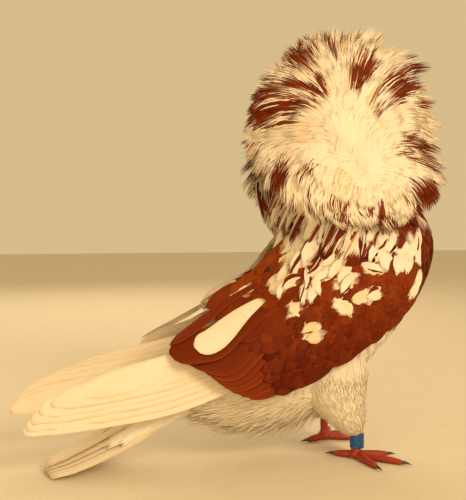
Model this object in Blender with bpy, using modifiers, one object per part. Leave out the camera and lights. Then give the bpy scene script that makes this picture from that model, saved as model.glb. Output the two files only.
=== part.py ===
"""Jacobin pigeon, life size, standing still, with one named object for each part.

Run it with blender --background --python part.py, or from Blender's text editor.
Metres, +Z up. The bird faces +X and its left is +Y. Sizes are given on a floor plan whose
zero is between the two feet. At the end everything moves so that the origin is at the
middle of the underside of the bounding box.
"""

import math
import random

import bmesh
import bpy
from mathutils import Matrix, Vector

# Gap between parts that touch, the gap to the curved body, and the seed for all variation
GAP = 0.0003
BODY_GAP = 0.0004
SEED = 11

# Trunk: back point (x, z), belly point (x, z) and half width of each section, tail to neck
TRUNK = (
    ((-0.121, 0.0585), (-0.113, 0.0335), 0.0175),
    ((-0.101, 0.0800), (-0.091, 0.0225), 0.0245),
    ((-0.077, 0.105), (-0.057, 0.0185), 0.0330),
    ((-0.060, 0.124), (-0.020, 0.030), 0.0390),
    ((-0.051, 0.139), (0.015, 0.063), 0.0420),
    ((-0.047, 0.150), (0.044, 0.096), 0.0430),
    ((-0.046, 0.158), (0.061, 0.124), 0.0425),
    ((-0.045, 0.165), (0.065, 0.147), 0.0405),
    ((-0.043, 0.172), (0.058, 0.167), 0.0360),
)
NECK = (
    ((-0.043, 0.172), (0.058, 0.167), 0.0360),
    ((-0.034, 0.187), (0.045, 0.184), 0.0270),
    ((-0.020, 0.204), (0.037, 0.203), 0.0195),
    ((-0.005, 0.221), (0.036, 0.217), 0.0150),
    ((0.006, 0.236), (0.038, 0.229), 0.0132),
)
# How finely the trunk and neck are divided
TRUNK_SIDES = 22
TRUNK_ROWS = 15
NECK_ROWS = 7

# Head: middle, then half length, half width and half height, and how far it tips forward
HEAD_MIDDLE = Vector((0.029, 0.0, 0.2405))
HEAD_HALF = Vector((0.0175, 0.0128, 0.0145))
HEAD_TILT = math.radians(8)

# Eyes: middle on the right side, ball radius, and the ring of bare skin round them, which
# faces outward and a little forward
EYE_MIDDLE = Vector((0.0345, -0.0088, 0.2438))
EYE_RADIUS = 0.0043
LID_RADIUS = 0.0045
LID_THICKNESS = 0.0009
LID_OUT = 0.0017
LID_FORWARD = 0.28
LID_UP = 0.10

# Bill: root, tip, half width at the root, and depth above and below the mouth line
BILL_ROOT = Vector((0.0440, 0.0, 0.2385))
BILL_TIP = Vector((0.0625, 0.0, 0.2325))
BILL_HALF_WIDTH = 0.0034
BILL_DEPTH_UPPER = 0.0032
BILL_DEPTH_LOWER = 0.0022
BILL_STEPS = (0.0, 0.35, 0.65, 0.88, 1.0)
BILL_TAPER = 0.22
BILL_BLUNT = 3.2
BILL_HOOK = 0.0012
NOSTRIL_LENGTH = 0.0028
NOSTRIL_RADIUS = 0.0005
NOSTRIL_FALL = 0.0004
NOSTRIL_PLACE = Vector((0.0068, 0.0030, 0.0016))

# Cere: place of a lobe from the bill's root, its half sizes and how far it tips forward
CERE_PLACE = Vector((0.0042, 0.0013, 0.0034))
CERE_HALF = (0.0036, 0.0021, 0.0021)
CERE_TILT = math.radians(20)

# Ruff: the rim's oval and how far its front is drawn in, the rose that the feathers spread
# from, and how far rose and rim stand out sideways
RUFF_MIDDLE_X = 0.0005
RUFF_MIDDLE_Z = 0.2290
RUFF_HALF_LENGTH = 0.0755
RUFF_HALF_HEIGHT = 0.0705
RUFF_FRONT_CUT = 0.0085
ROSE_X = -0.0095
ROSE_Z = 0.1990
ROSE_OUT = 0.0420
RIM_OUT_BACK = 0.0010
RIM_OUT_FRONT = 0.0150
RIM_OUT_BELOW = 0.0475
RUFF_SWEEP = math.radians(20)
RUFF_BELOW_STRETCH = 0.10

# Shell of the ruff: its reach, steps, rise at the rose, and thickness at the rose and edge
SHELL_REACH = 0.42
SHELL_STEPS = (0.12, 0.45, 0.75, 1.0)
SHELL_SPOKES = 20
SHELL_RISE = 0.0050
SHELL_DEEP = 0.0100
SHELL_THIN = 0.0022

# Core of the ruff: half sizes, place from the rose, and its flat side beside the neck
CORE_HALF = (0.033, 0.030, 0.029)
CORE_FORWARD = 0.006
CORE_OUT = 0.0135
CORE_UP = 0.003
CORE_FLAT = 0.004

# Tiers of ruff feathers, rim first: reach of root and tip, number, curl and segments. A
# feather's places along it and its share of the full width there follow its segments.
RUFF_TIERS = (
    (0.36, 1.00, 19, 0.0045, 3),
    (0.33, 0.92, 19, 0.0035, 3),
    (0.26, 0.74, 15, 0.0028, 2),
    (0.15, 0.52, 11, 0.0020, 2),
)
RUFF_PLAN = {
    2: ((0.0, 0.62, 1.0), (0.85, 1.0, 0.36)),
    3: ((0.0, 0.34, 0.74, 1.0), (0.85, 1.0, 1.0, 0.32)),
}
RUFF_ROOT_DEPTH = 0.0016
RUFF_LEVEL = 0.0015
RUFF_FIRST_LEVEL = 0.0004
RUFF_COVER = 0.92
RUFF_CLOSE = 0.86
RUFF_JITTER = 0.04

# Thickness of every feather's vane
VANE_THICKNESS = 0.0005

# Wing: upper edge point, lower edge point and outward bulge of each section, front to back
WING = (
    ((0.036, -0.033, 0.143), (0.047, -0.028, 0.117), 0.0050),
    ((0.020, -0.034, 0.152), (0.027, -0.0385, 0.099), 0.0085),
    ((-0.012, -0.029, 0.154), (0.000, -0.045, 0.082), 0.0105),
    ((-0.043, -0.017, 0.147), (-0.029, -0.0465, 0.068), 0.0125),
    ((-0.066, -0.010, 0.124), (-0.055, -0.0450, 0.056), 0.0130),
)
WING_OUTWARD = Vector((0.0, -1.0, 0.32)).normalized()
WING_INNER_BULGE = -0.9
WING_SIDES = 18
WING_ROWS = 9

# Inner flight feathers behind the shield: the same kind of sections, and their thickness
INNER_FLIGHT = (
    ((-0.066, -0.010, 0.124), (-0.055, -0.0450, 0.056), 0.0130),
    ((-0.090, -0.011, 0.111), (-0.072, -0.0440, 0.0525), 0.0110),
    ((-0.110, -0.016, 0.099), (-0.087, -0.0430, 0.0545), 0.0080),
    ((-0.124, -0.022, 0.089), (-0.105, -0.0400, 0.0690), 0.0040),
    ((-0.1325, -0.028, 0.0815), (-0.129, -0.0320, 0.0760), 0.0010),
)
INNER_FLIGHT_DEPTH = 0.0034
INNER_FLIGHT_BASE = 0.24
INNER_VANE_START = 0.084

# Secondaries, lowest first, then the tertials: place across the wing at the root and at
# the tip, 0 at the upper edge and 1 at the lower, and how far along the sections they end
INNER_VANES = (
    (0.93, 0.93, 0.46),
    (0.83, 0.90, 0.58),
    (0.73, 0.88, 0.67),
    (0.63, 0.86, 0.75),
    (0.53, 0.83, 0.83),
    (0.43, 0.78, 0.90),
    (0.32, 0.66, 0.97),
    (0.21, 0.45, 1.00),
    (0.11, 0.22, 0.92),
)
INNER_VANE_WIDTH = 0.0165
INNER_VANE_TILT = math.radians(8)

# Outer flight feathers, from under the inner ones to the wing tip: upper edge point, lower
# edge point and half depth of each section
OUTER_FLIGHT = (
    ((-0.064, -0.0290, 0.100), (-0.058, -0.0375, 0.062), 0.0020),
    ((-0.100, -0.0280, 0.085), (-0.090, -0.0350, 0.052), 0.0020),
    ((-0.140, -0.0275, 0.073), (-0.125, -0.0325, 0.0395), 0.0018),
    ((-0.172, -0.0280, 0.064), (-0.160, -0.0305, 0.0335), 0.0014),
    ((-0.198, -0.0285, 0.0555), (-0.190, -0.0300, 0.0305), 0.0010),
    ((-0.212, -0.0290, 0.0475), (-0.206, -0.0300, 0.0300), 0.0007),
    ((-0.220, -0.0295, 0.0350), (-0.219, -0.0300, 0.0320), 0.0005),
)
OUTER_FLIGHT_BASE = 0.20
OUTER_VANE_START = 0.08
OUTER_BASE_DEPTH = 0.0035
OUTER_BASE_SIDES = 14

# Primaries, outermost first: place across the band at the root and the tip, and their end
OUTER_VANES = (
    (0.78, 0.50, 1.00),
    (0.70, 0.46, 0.97),
    (0.62, 0.34, 0.93),
    (0.54, 0.28, 0.87),
    (0.46, 0.24, 0.80),
    (0.38, 0.24, 0.72),
    (0.30, 0.24, 0.63),
)
OUTER_VANE_WIDTH = 0.0175

# Flight feathers: places along one, its share of the full width there, and the step between
# neighbours
FLIGHT_STEPS = (0.0, 0.36, 0.80, 1.0)
FLIGHT_SHARES = (0.40, 0.90, 0.95, 0.36)
LAYER = 0.0008

# Tail: root, length, slope down to the floor, and half width at the root and at the end
TAIL_ROOT = Vector((-0.108, 0.0, 0.0500))
TAIL_LENGTH = 0.1090
TAIL_SLOPE = math.radians(25.5)
TAIL_HALF_WIDTH_ROOT = 0.0060
TAIL_HALF_WIDTH_END = 0.0265
TAIL_PAIRS = 6
RECTRIX_WIDTH = 0.0225
RECTRIX_STEPS = (0.12, 0.45, 0.92, 1.0)
RECTRIX_SHARES = (0.30, 0.78, 1.0, 0.55)
RECTRIX_FALL = 0.02
TOP_PAIR_OUT = 0.0012

# Coverts that hold the tail: place along it, half width and half depth
TAIL_BASE = ((0.0, 0.0150, 0.0115), (0.2, 0.0165, 0.0095), (0.38, 0.0150, 0.0062))
TAIL_BASE_SIDES = 16

# Legs: the middle of each foot on the floor, and where its middle toe points
HUB_RIGHT = Vector((-0.0010, -0.0260, 0.0))
HUB_LEFT = Vector((-0.0050, 0.0220, 0.0))
HEADING_RIGHT = math.radians(-43)
HEADING_LEFT = math.radians(21)

# Shank: its ends' heights, how far it leans back, and its radii from the foot up
SHANK_BOTTOM = 0.0062
SHANK_TOP = 0.0180
SHANK_LEAN = 0.0005
SHANK_RADII = (0.0030, 0.0026, 0.0029)
SHANK_HOLE = 0.0036

# Thigh from the flank down: place forward and outward, height, half length and half width
THIGH_FLANK = (
    (-0.020, 0.0200, 0.078, 0.026, 0.0180),
    (-0.018, 0.0225, 0.058, 0.025, 0.0180),
    (-0.015, 0.0235, 0.042, 0.020, 0.0155),
)

# and on down to the shank: place behind the foot's middle, height, half length, half width
THIGH_SHANK = (
    (0.009, 0.0300, 0.0145, 0.0115),
    (0.005, 0.0215, 0.0090, 0.0080),
    (0.002, SHANK_TOP, 0.0050, 0.0048),
)
THIGH_SIDES = 16

# Toes: name, angle outward from the foot's heading, and length
TOES = (
    ("inner", math.radians(-40), 0.0225),
    ("middle", 0.0, 0.0325),
    ("outer", math.radians(40), 0.0260),
    ("hind", math.radians(174), 0.0150),
)
TOE_STEPS = (0.0, 0.28, 0.55, 0.80, 1.0)
TOE_HEIGHTS = (0.0032, 0.0028, 0.00235, 0.0022, 0.0016)
TOE_RADII = (0.0030, 0.0023, 0.0026, 0.0021, 0.0018)
SOLE_HALF = (0.0052, 0.0050, 0.0042)
SOLE_HEIGHT = 0.0036

# Claws: length of the straight base, points ahead and above its start, and radii
CLAW_BASE = 0.0012
CLAW_CURVE = ((0.0030, 0.0003), (0.0055, -0.0001), (0.0075, -0.0009))
CLAW_RADII = (0.0012, 0.0012, 0.0011, 0.0008, 0.0003)

# Leg ring: bore, wall, height, height of its lower edge and place from the foot's middle
RING_BORE = 0.0078
RING_WALL = 0.0009
RING_HEIGHT = 0.0095
RING_BOTTOM = 0.0078
RING_FORWARD = 0.0006

# Colours, linear RGB, with roughness
COLOURS = {
    "white_feather": ((0.83, 0.77, 0.66), 0.75),
    "red_feather": ((0.26, 0.055, 0.018), 0.70),
    "bill_horn": ((0.80, 0.62, 0.50), 0.45),
    "cere_skin": ((0.86, 0.80, 0.76), 0.65),
    "eye_pearl": ((0.72, 0.74, 0.72), 0.10),
    "foot_skin": ((0.55, 0.060, 0.040), 0.55),
    "claw_horn": ((0.16, 0.10, 0.07), 0.40),
    "ring_blue": ((0.05, 0.16, 0.48), 0.30),
}

BODY_Y = Vector((0.0, 1.0, 0.0))


# Scene and materials


def clear_scene():
    for item in list(bpy.data.objects):
        bpy.data.objects.remove(item, do_unlink=True)
    for item in list(bpy.data.collections):
        bpy.data.collections.remove(item)


def new_collection(name):
    collection = bpy.data.collections.new(name)
    bpy.context.scene.collection.children.link(collection)
    return collection


def material(name):
    found = bpy.data.materials.get(name)
    if found:
        return found
    colour, roughness = COLOURS[name]
    made = bpy.data.materials.new(name)
    made.use_nodes = True
    shader = made.node_tree.nodes["Principled BSDF"]
    shader.inputs["Base Color"].default_value = (*colour, 1.0)
    shader.inputs["Roughness"].default_value = roughness
    made.diffuse_color = (*colour, 1.0)
    return made


def add_object(name, bm, collection, material_name):
    """Write a bmesh to a new object, with its faces turned outward."""
    bmesh.ops.recalc_face_normals(bm, faces=bm.faces)
    mesh = bpy.data.meshes.new(name)
    bm.to_mesh(mesh)
    bm.free()
    mesh.materials.append(material(material_name))
    made = bpy.data.objects.new(name, mesh)
    collection.objects.link(made)
    return made


# Lofts


def spline(rows, count):
    """Read count points from a smooth curve through the rows, each a tuple of numbers."""
    points = []
    last = len(rows) - 1
    for step in range(count):
        place = step * last / (count - 1)
        k = min(int(place), last - 1)
        t = place - k
        p0 = rows[max(k - 1, 0)]
        p1 = rows[k]
        p2 = rows[k + 1]
        p3 = rows[min(k + 2, last)]
        points.append(tuple(
            0.5 * (2 * b + (c - a) * t + (2 * a - 5 * b + 4 * c - d) * t ** 2
                   + (3 * b - a - 3 * c + d) * t ** 3)
            for a, b, c, d in zip(p0, p1, p2, p3)
        ))
    return points


def loft(rings):
    """Join rings of points, all of one length, and close both ends."""
    bm = bmesh.new()
    rows = [[bm.verts.new(point) for point in ring] for ring in rings]
    count = len(rows[0])
    for lower, upper in zip(rows, rows[1:]):
        for i in range(count):
            j = (i + 1) % count
            bm.faces.new((lower[i], lower[j], upper[j], upper[i]))
    bm.faces.new(list(reversed(rows[0])))
    bm.faces.new(rows[-1])
    return bm


def body_rings(stations, rows, grow=0.0, start_shift=0.0, sides=TRUNK_SIDES):
    """Oval rings from back point to belly point, grown all round by grow."""
    flat = [(*back, *belly, width) for back, belly, width in stations]
    rings = []
    for back_x, back_z, belly_x, belly_z, width in spline(flat, rows):
        back = Vector((back_x, 0.0, back_z))
        belly = Vector((belly_x, 0.0, belly_z))
        middle = (back + belly) / 2
        up = (back - belly) / 2
        up += up.normalized() * grow
        across = BODY_Y * (width + grow)
        rings.append([
            middle + up * math.cos(angle) + across * math.sin(angle)
            for angle in (math.tau * i / sides for i in range(sides))
        ])
    if start_shift:
        first = rings[0]
        travel = (first[sides // 2] - first[0]).cross(first[sides // 4] - first[0])
        travel = travel.normalized() * start_shift
        rings[0] = [point + travel for point in first]
    return rings


def limb(points, radii, sides=8, flat=1.0):
    """A tapered tube along points, with radii across and radii times flat in height."""
    rings = []
    last = len(points) - 1
    for i, (point, radius) in enumerate(zip(points, radii)):
        along = (points[min(i + 1, last)] - points[max(i - 1, 0)]).normalized()
        side = along.cross(Vector((0.0, 0.0, 1.0)))
        if side.length < 0.2:
            side = along.cross(Vector((1.0, 0.0, 0.0)))
        side.normalize()
        up = side.cross(along)
        rings.append([
            point + side * radius * math.cos(angle) + up * radius * flat * math.sin(angle)
            for angle in (math.tau * (k + 0.5) / sides for k in range(sides))
        ])
    return loft(rings)


# Joining and cutting


def remove_objects(objects):
    for item in list(objects):
        mesh = item.data
        bpy.data.objects.remove(item, do_unlink=True)
        bpy.data.meshes.remove(mesh)


def keep_largest(mesh):
    """Leave only the surface with the largest box, and triangles that have an area."""
    bm = bmesh.new()
    bm.from_mesh(mesh)
    bmesh.ops.remove_doubles(bm, verts=bm.verts, dist=1e-7)
    bmesh.ops.dissolve_degenerate(bm, edges=bm.edges, dist=1e-7)
    bm.verts.ensure_lookup_table()
    seen = set()
    groups = []
    for start in bm.verts:
        if start in seen:
            continue
        seen.add(start)
        group = [start]
        for vert in group:
            for edge in vert.link_edges:
                other = edge.other_vert(vert)
                if other not in seen:
                    seen.add(other)
                    group.append(other)
        groups.append(group)

    def box_size(group):
        return sum(
            max(vert.co[axis] for vert in group) - min(vert.co[axis] for vert in group)
            for axis in range(3)
        )

    groups.sort(key=box_size)
    for group in groups[:-1]:
        bmesh.ops.delete(bm, geom=group, context="VERTS")
    bmesh.ops.triangulate(bm, faces=bm.faces)
    bm.to_mesh(mesh)
    bm.free()


def boolean(target, pieces, operation, solver="EXACT"):
    """Apply one Boolean of the pieces on the target, then remove the pieces."""
    helpers = new_collection(target.name + "_pieces")
    for piece in pieces:
        for owner in list(piece.users_collection):
            owner.objects.unlink(piece)
        helpers.objects.link(piece)
    change = target.modifiers.new("join", "BOOLEAN")
    change.operation = operation
    change.operand_type = "COLLECTION"
    change.collection = helpers
    change.solver = solver
    bpy.context.view_layer.update()
    graph = bpy.context.evaluated_depsgraph_get()
    result = bpy.data.meshes.new_from_object(target.evaluated_get(graph), depsgraph=graph)
    target.modifiers.remove(change)
    old = target.data
    target.data = result
    result.name = target.name
    bpy.data.meshes.remove(old)
    keep_largest(result)
    remove_objects(pieces)
    bpy.data.collections.remove(helpers)


# Trunk, neck and head


def trunk_solid(name, collection, grow=0.0):
    return add_object(name, loft(body_rings(TRUNK, TRUNK_ROWS, grow)), collection, "white_feather")


def neck_solid(name, collection, grow=0.0):
    rings = body_rings(NECK, NECK_ROWS, grow, start_shift=GAP)
    return add_object(name, loft(rings), collection, "red_feather")


def head_oval(name, collection, grow=0.0):
    bm = bmesh.new()
    bmesh.ops.create_uvsphere(bm, u_segments=16, v_segments=10, radius=1.0)
    size = [half + grow for half in HEAD_HALF]
    bmesh.ops.scale(bm, vec=size, verts=bm.verts)
    bmesh.ops.rotate(bm, verts=bm.verts, matrix=Matrix.Rotation(HEAD_TILT, 3, "Y"))
    bmesh.ops.translate(bm, vec=HEAD_MIDDLE, verts=bm.verts)
    return add_object(name, bm, collection, "white_feather")


def sided(point, side):
    """A point of the bird's right for side -1, and its mirror image for side 1."""
    return Vector((point.x, point.y * -side, point.z))


def ball(name, middle, radius, collection, material_name, segments=12):
    bm = bmesh.new()
    bmesh.ops.create_uvsphere(bm, u_segments=segments, v_segments=segments // 2, radius=radius)
    bmesh.ops.translate(bm, vec=middle, verts=bm.verts)
    return add_object(name, bm, collection, material_name)


def lid_ring(name, middle, side, collection):
    """The ring of bare skin round an eye."""
    bm = bmesh.new()
    major = 12
    minor = 4
    facing = Vector((LID_FORWARD, side, LID_UP)).normalized()
    along = facing.orthogonal().normalized()
    up = facing.cross(along)
    rings = []
    for i in range(major):
        angle = math.tau * i / major
        radial = along * math.cos(angle) + up * math.sin(angle)
        rings.append([
            bm.verts.new(
                middle + facing * (LID_OUT + LID_THICKNESS * math.sin(turn))
                + radial * (LID_RADIUS + LID_THICKNESS * math.cos(turn))
            )
            for turn in (math.tau * k / minor for k in range(minor))
        ])
    for i in range(major):
        for k in range(minor):
            ring = rings[i]
            following = rings[(i + 1) % major]
            j = (k + 1) % minor
            bm.faces.new((ring[k], ring[j], following[j], following[k]))
    return add_object(name, bm, collection, "cere_skin")


def build_head(collection):
    head = head_oval("head", collection)
    lids = []
    sockets = []
    for side, label in ((-1, "right"), (1, "left")):
        middle = sided(EYE_MIDDLE, side)
        lids.append(lid_ring("lid_" + label, middle, side, collection))
        sockets.append(ball("socket_" + label, middle, EYE_RADIUS + GAP, collection, "cere_skin"))
        ball("eye_" + label, middle, EYE_RADIUS, collection, "eye_pearl")
    boolean(head, lids, "UNION")
    boolean(head, sockets, "DIFFERENCE")
    return head


def bill_rings(depth, drop, grow=0.0):
    """Half-round rings along the bill, on one side of the mouth line."""
    rings = []
    along = BILL_TIP - BILL_ROOT
    up = Vector((0.0, 0.0, 1.0))
    for t in BILL_STEPS:
        taper = (1.0 - BILL_TAPER * t) * math.sqrt(max(1.0 - t ** BILL_BLUNT, 0.035))
        middle = BILL_ROOT + along * t - up * BILL_HOOK * t ** 3
        ring = []
        for k in range(9):
            angle = math.pi * k / 8
            ring.append(
                middle
                + BODY_Y * (BILL_HALF_WIDTH + grow) * taper * math.cos(angle)
                + up * drop * ((depth + grow) * taper * math.sin(angle) + GAP / 2)
            )
        rings.append(ring)
    return rings


def build_bill(collection):
    upper = add_object("bill_upper", loft(bill_rings(BILL_DEPTH_UPPER, 1)), collection, "bill_horn")
    lower = add_object("bill_lower", loft(bill_rings(BILL_DEPTH_LOWER, -1)), collection, "bill_horn")
    slits = []
    for side in (-1, 1):
        place = BILL_ROOT + sided(NOSTRIL_PLACE, -side)
        half = Vector((NOSTRIL_LENGTH / 2, 0.0, 0.0))
        front = place + half - Vector((0.0, 0.0, NOSTRIL_FALL))
        slit = limb([place - half, front], (NOSTRIL_RADIUS, NOSTRIL_RADIUS), sides=6)
        slits.append(add_object("nostril", slit, collection, "bill_horn"))
    boolean(upper, slits, "DIFFERENCE")
    for piece in (upper, lower):
        boolean(piece, [head_oval("head_room", collection, GAP)], "DIFFERENCE")
    return upper


def build_cere(collection):
    """Two pale swellings on top of the bill, just in front of the forehead."""
    lobes = []
    for side in (-1, 1):
        bm = bmesh.new()
        bmesh.ops.create_uvsphere(bm, u_segments=10, v_segments=6, radius=1.0)
        bmesh.ops.scale(bm, vec=CERE_HALF, verts=bm.verts)
        bmesh.ops.rotate(bm, verts=bm.verts, matrix=Matrix.Rotation(CERE_TILT, 3, "Y"))
        bmesh.ops.translate(bm, vec=BILL_ROOT + sided(CERE_PLACE, -side), verts=bm.verts)
        lobes.append(add_object("cere", bm, collection, "cere_skin"))
    cere = lobes[0]
    boolean(cere, [lobes[1]], "UNION")
    rings = bill_rings(BILL_DEPTH_UPPER, 1, GAP)
    bill_room = add_object("bill_room", loft(rings), collection, "bill_horn")
    boolean(cere, [head_oval("head_room", collection, GAP), bill_room], "DIFFERENCE")
    return cere


# Ruff


def blend(low, high, t):
    return low + (high - low) * min(max(t, 0.0), 1.0)


def rim_out(angle):
    """How far the rim stands out from the middle plane, by its angle above forward."""
    front = blend(RIM_OUT_BACK, RIM_OUT_FRONT, (math.cos(angle) + 0.1) / 0.9)
    below = min(max((-math.sin(angle) - 0.15) / 0.6, 0.0), 1.0)
    return blend(front, RIM_OUT_BELOW, below * below * (3 - 2 * below))


def ruff_point(reach, angle, lift, side):
    """A point of the dome: reach 0 at the rose and 1 at the rim, lift above the dome."""
    front = RUFF_FRONT_CUT * max(math.cos(angle), 0.0) ** 2
    rim = Vector((
        RUFF_MIDDLE_X + RUFF_HALF_LENGTH * math.cos(angle) - front,
        RUFF_MIDDLE_Z + RUFF_HALF_HEIGHT * math.sin(angle),
    ))
    rose = Vector((ROSE_X, ROSE_Z))
    turn = RUFF_SWEEP * math.cos(angle) * (1.0 - reach ** 1.4)
    spoke = (rim - rose) * reach
    spoke.rotate(Matrix.Rotation(turn, 2))
    out = blend(ROSE_OUT, rim_out(angle), min(reach / RUFF_CLOSE, 1.0) ** 1.7) + lift
    return Vector((rose.x + spoke.x, side * out, rose.y + spoke.y))


def ruff_shell(name, side, collection):
    """A smooth dome round the rose, hollow behind."""
    outer = [(t * SHELL_REACH, SHELL_RISE * (1.0 - t)) for t in SHELL_STEPS]
    inner = [(t * SHELL_REACH, -blend(SHELL_DEEP, SHELL_THIN, t)) for t in reversed(SHELL_STEPS)]
    rings = [
        [ruff_point(r, math.tau * i / SHELL_SPOKES, lift, side) for i in range(SHELL_SPOKES)]
        for r, lift in outer + inner
    ]
    return add_object(name, loft(rings), collection, "white_feather")


def ruff_core(name, side, collection):
    """The lump of short feathers between the neck and the rose."""
    bm = bmesh.new()
    bmesh.ops.create_uvsphere(bm, u_segments=12, v_segments=8, radius=1.0)
    bmesh.ops.scale(bm, vec=CORE_HALF, verts=bm.verts)
    middle = (ROSE_X + CORE_FORWARD, side * CORE_OUT, ROSE_Z + CORE_UP)
    bmesh.ops.translate(bm, vec=middle, verts=bm.verts)
    core = add_object(name, bm, collection, "white_feather")
    size = 0.2
    inner = bmesh.new()
    bmesh.ops.create_cube(inner, size=size)
    bmesh.ops.translate(inner, vec=(0.0, side * (CORE_FLAT - size / 2), ROSE_Z), verts=inner.verts)
    boolean(core, [add_object("inner", inner, collection, "white_feather")], "DIFFERENCE")
    return core


def body_room(collection):
    """The trunk, neck and head grown by the gap, to cut their neighbours clear."""
    return [
        trunk_solid("trunk_room", collection, BODY_GAP),
        neck_solid("neck_room", collection, BODY_GAP),
        head_oval("head_room", collection, GAP),
    ]


def ruff_vane(tier, place, side, rng):
    """One ruff feather: rooted in the core, along the dome, and curled out at its tip."""
    root, tip, count, curl, segments = RUFF_TIERS[tier]
    angle = math.tau * (place + 0.5 * (tier % 2)) / count
    below = max(-math.sin(angle), 0.0) ** 2
    tip = tip * (1.0 + RUFF_BELOW_STRETCH * below) * (1.0 + rng.uniform(-1, 1) * RUFF_JITTER)
    steps, shares = RUFF_PLAN[segments]
    points = []
    acrosses = []
    widths = []
    for t, share in zip(steps, shares):
        reach = blend(root, tip, t)
        lift = blend(-RUFF_ROOT_DEPTH, RUFF_LEVEL * tier + RUFF_FIRST_LEVEL, t / 0.34)
        lift += curl * max((t - 0.7) / 0.3, 0.0) ** 2
        ahead = ruff_point(reach, angle + 0.05, lift, side)
        behind = ruff_point(reach, angle - 0.05, lift, side)
        points.append(ruff_point(reach, angle, lift, side))
        acrosses.append((ahead - behind).normalized())
        spacing = (ahead - behind).length / 0.10 * math.tau / count
        widths.append(spacing * share * RUFF_COVER)
    return vane(points, acrosses, widths, VANE_THICKNESS)


def build_ruff(side, label, collection):
    """The hood, mane and chain of one side, in tiers round the rose."""
    rng = random.Random(SEED + side)
    ruff = ruff_shell("ruff_" + label, side, collection)
    pieces = [ruff_core("core", side, collection)]
    for tier, spec in enumerate(RUFF_TIERS):
        for place in range(spec[2]):
            bm = ruff_vane(tier, place, side, rng)
            pieces.append(add_object("vane", bm, collection, "white_feather"))
    boolean(ruff, pieces, "UNION")
    boolean(ruff, body_room(collection), "DIFFERENCE")
    return ruff


# Wings


def wing_point(section, t, bulge_share, side):
    """A point of a wing section: t 0 at its upper edge and 1 at its lower edge."""
    upper = Vector(section[0:3])
    lower = Vector(section[3:6])
    point = upper.lerp(lower, t) + WING_OUTWARD * section[6] * bulge_share * math.sin(math.pi * t)
    return sided(point, side)


def wing_sections(rows):
    return spline([(*upper, *lower, bulge) for upper, lower, bulge in WING], rows)


def wing_solid(name, side, collection):
    """The shield of a folded wing, from the wrist to the roots of the flight feathers."""
    rings = []
    half = WING_SIDES // 2
    for section in wing_sections(WING_ROWS):
        outer = [wing_point(section, k / half, 1.0, side) for k in range(half + 1)]
        inner = [
            wing_point(section, 1.0 - k / half, WING_INNER_BULGE, side) for k in range(1, half)
        ]
        rings.append(outer + inner)
    return add_object(name, loft(rings), collection, "red_feather")


def wing_room(side, collection):
    """The shield again, with its rear moved back by the gap."""
    room = wing_solid("wing_room", side, collection)
    for vert in room.data.vertices:
        vert.co.x -= GAP
    return room


def build_wing(side, label, collection):
    wing = wing_solid("wing_" + label, side, collection)
    boolean(wing, body_room(collection), "DIFFERENCE")
    return wing


def inner_flight_solid(name, side, collection, end=1.0, grow=0.0):
    """The room of the secondaries and tertials as one plate behind the shield."""
    rings = []
    half = WING_SIDES // 2
    depth = outward(side) * (INNER_FLIGHT_DEPTH + grow)
    count = 9 if end == 1.0 else 3
    for step in range(count):
        section = section_at(INNER_FLIGHT, end * step / (count - 1))
        outer = [wing_point(section, k / half, 1.0, side) for k in range(half + 1)]
        inner = [point - depth for point in reversed(outer)]
        rings.append([point + outward(side) * grow for point in outer] + inner)
    rings[0] = [point - Vector((GAP, 0.0, 0.0)) for point in rings[0]]
    return add_object(name, loft(rings), collection, "red_feather")


def section_at(sections, share):
    """The section at a share of the way from the first to the last."""
    rows = [(*upper, *lower, size) for upper, lower, size in sections]
    fine = spline(rows, 41)
    place = min(share, 1.0) * 40
    k = min(int(place), 39)
    return tuple(a + (b - a) * (place - k) for a, b in zip(fine[k], fine[k + 1]))


def outward(side):
    return sided(WING_OUTWARD, side)


def flight_vane(sections, spec, inset, side, width, tilt, start, bulge_share):
    """A flight feather that runs across the sections from its root to its tip."""
    root_place, tip_place, end = spec
    points = []
    acrosses = []
    for t in FLIGHT_STEPS:
        section = section_at(sections, blend(start, end, t))
        place = blend(root_place, tip_place, t)
        points.append(wing_point(section, place, bulge_share, side) - outward(side) * inset)
        upper = wing_point(section, place - 0.06, bulge_share, side)
        lower = wing_point(section, place + 0.06, bulge_share, side)
        across = (upper - lower).normalized()
        acrosses.append(across - outward(side) * math.tan(tilt))
    widths = [width * share for share in FLIGHT_SHARES]
    return vane(points, acrosses, widths, VANE_THICKNESS)


def build_secondaries(side, label, collection):
    base = inner_flight_solid("secondaries_" + label, side, collection, INNER_FLIGHT_BASE)
    pieces = []
    for spec in INNER_VANES:
        bm = flight_vane(
            INNER_FLIGHT, spec, INNER_FLIGHT_DEPTH / 2, side,
            INNER_VANE_WIDTH, INNER_VANE_TILT, INNER_VANE_START, 1.0,
        )
        pieces.append(add_object("vane", bm, collection, "red_feather"))
    boolean(base, pieces, "UNION")
    boolean(base, [trunk_solid("trunk_room", collection, BODY_GAP)], "DIFFERENCE")
    return base


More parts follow.
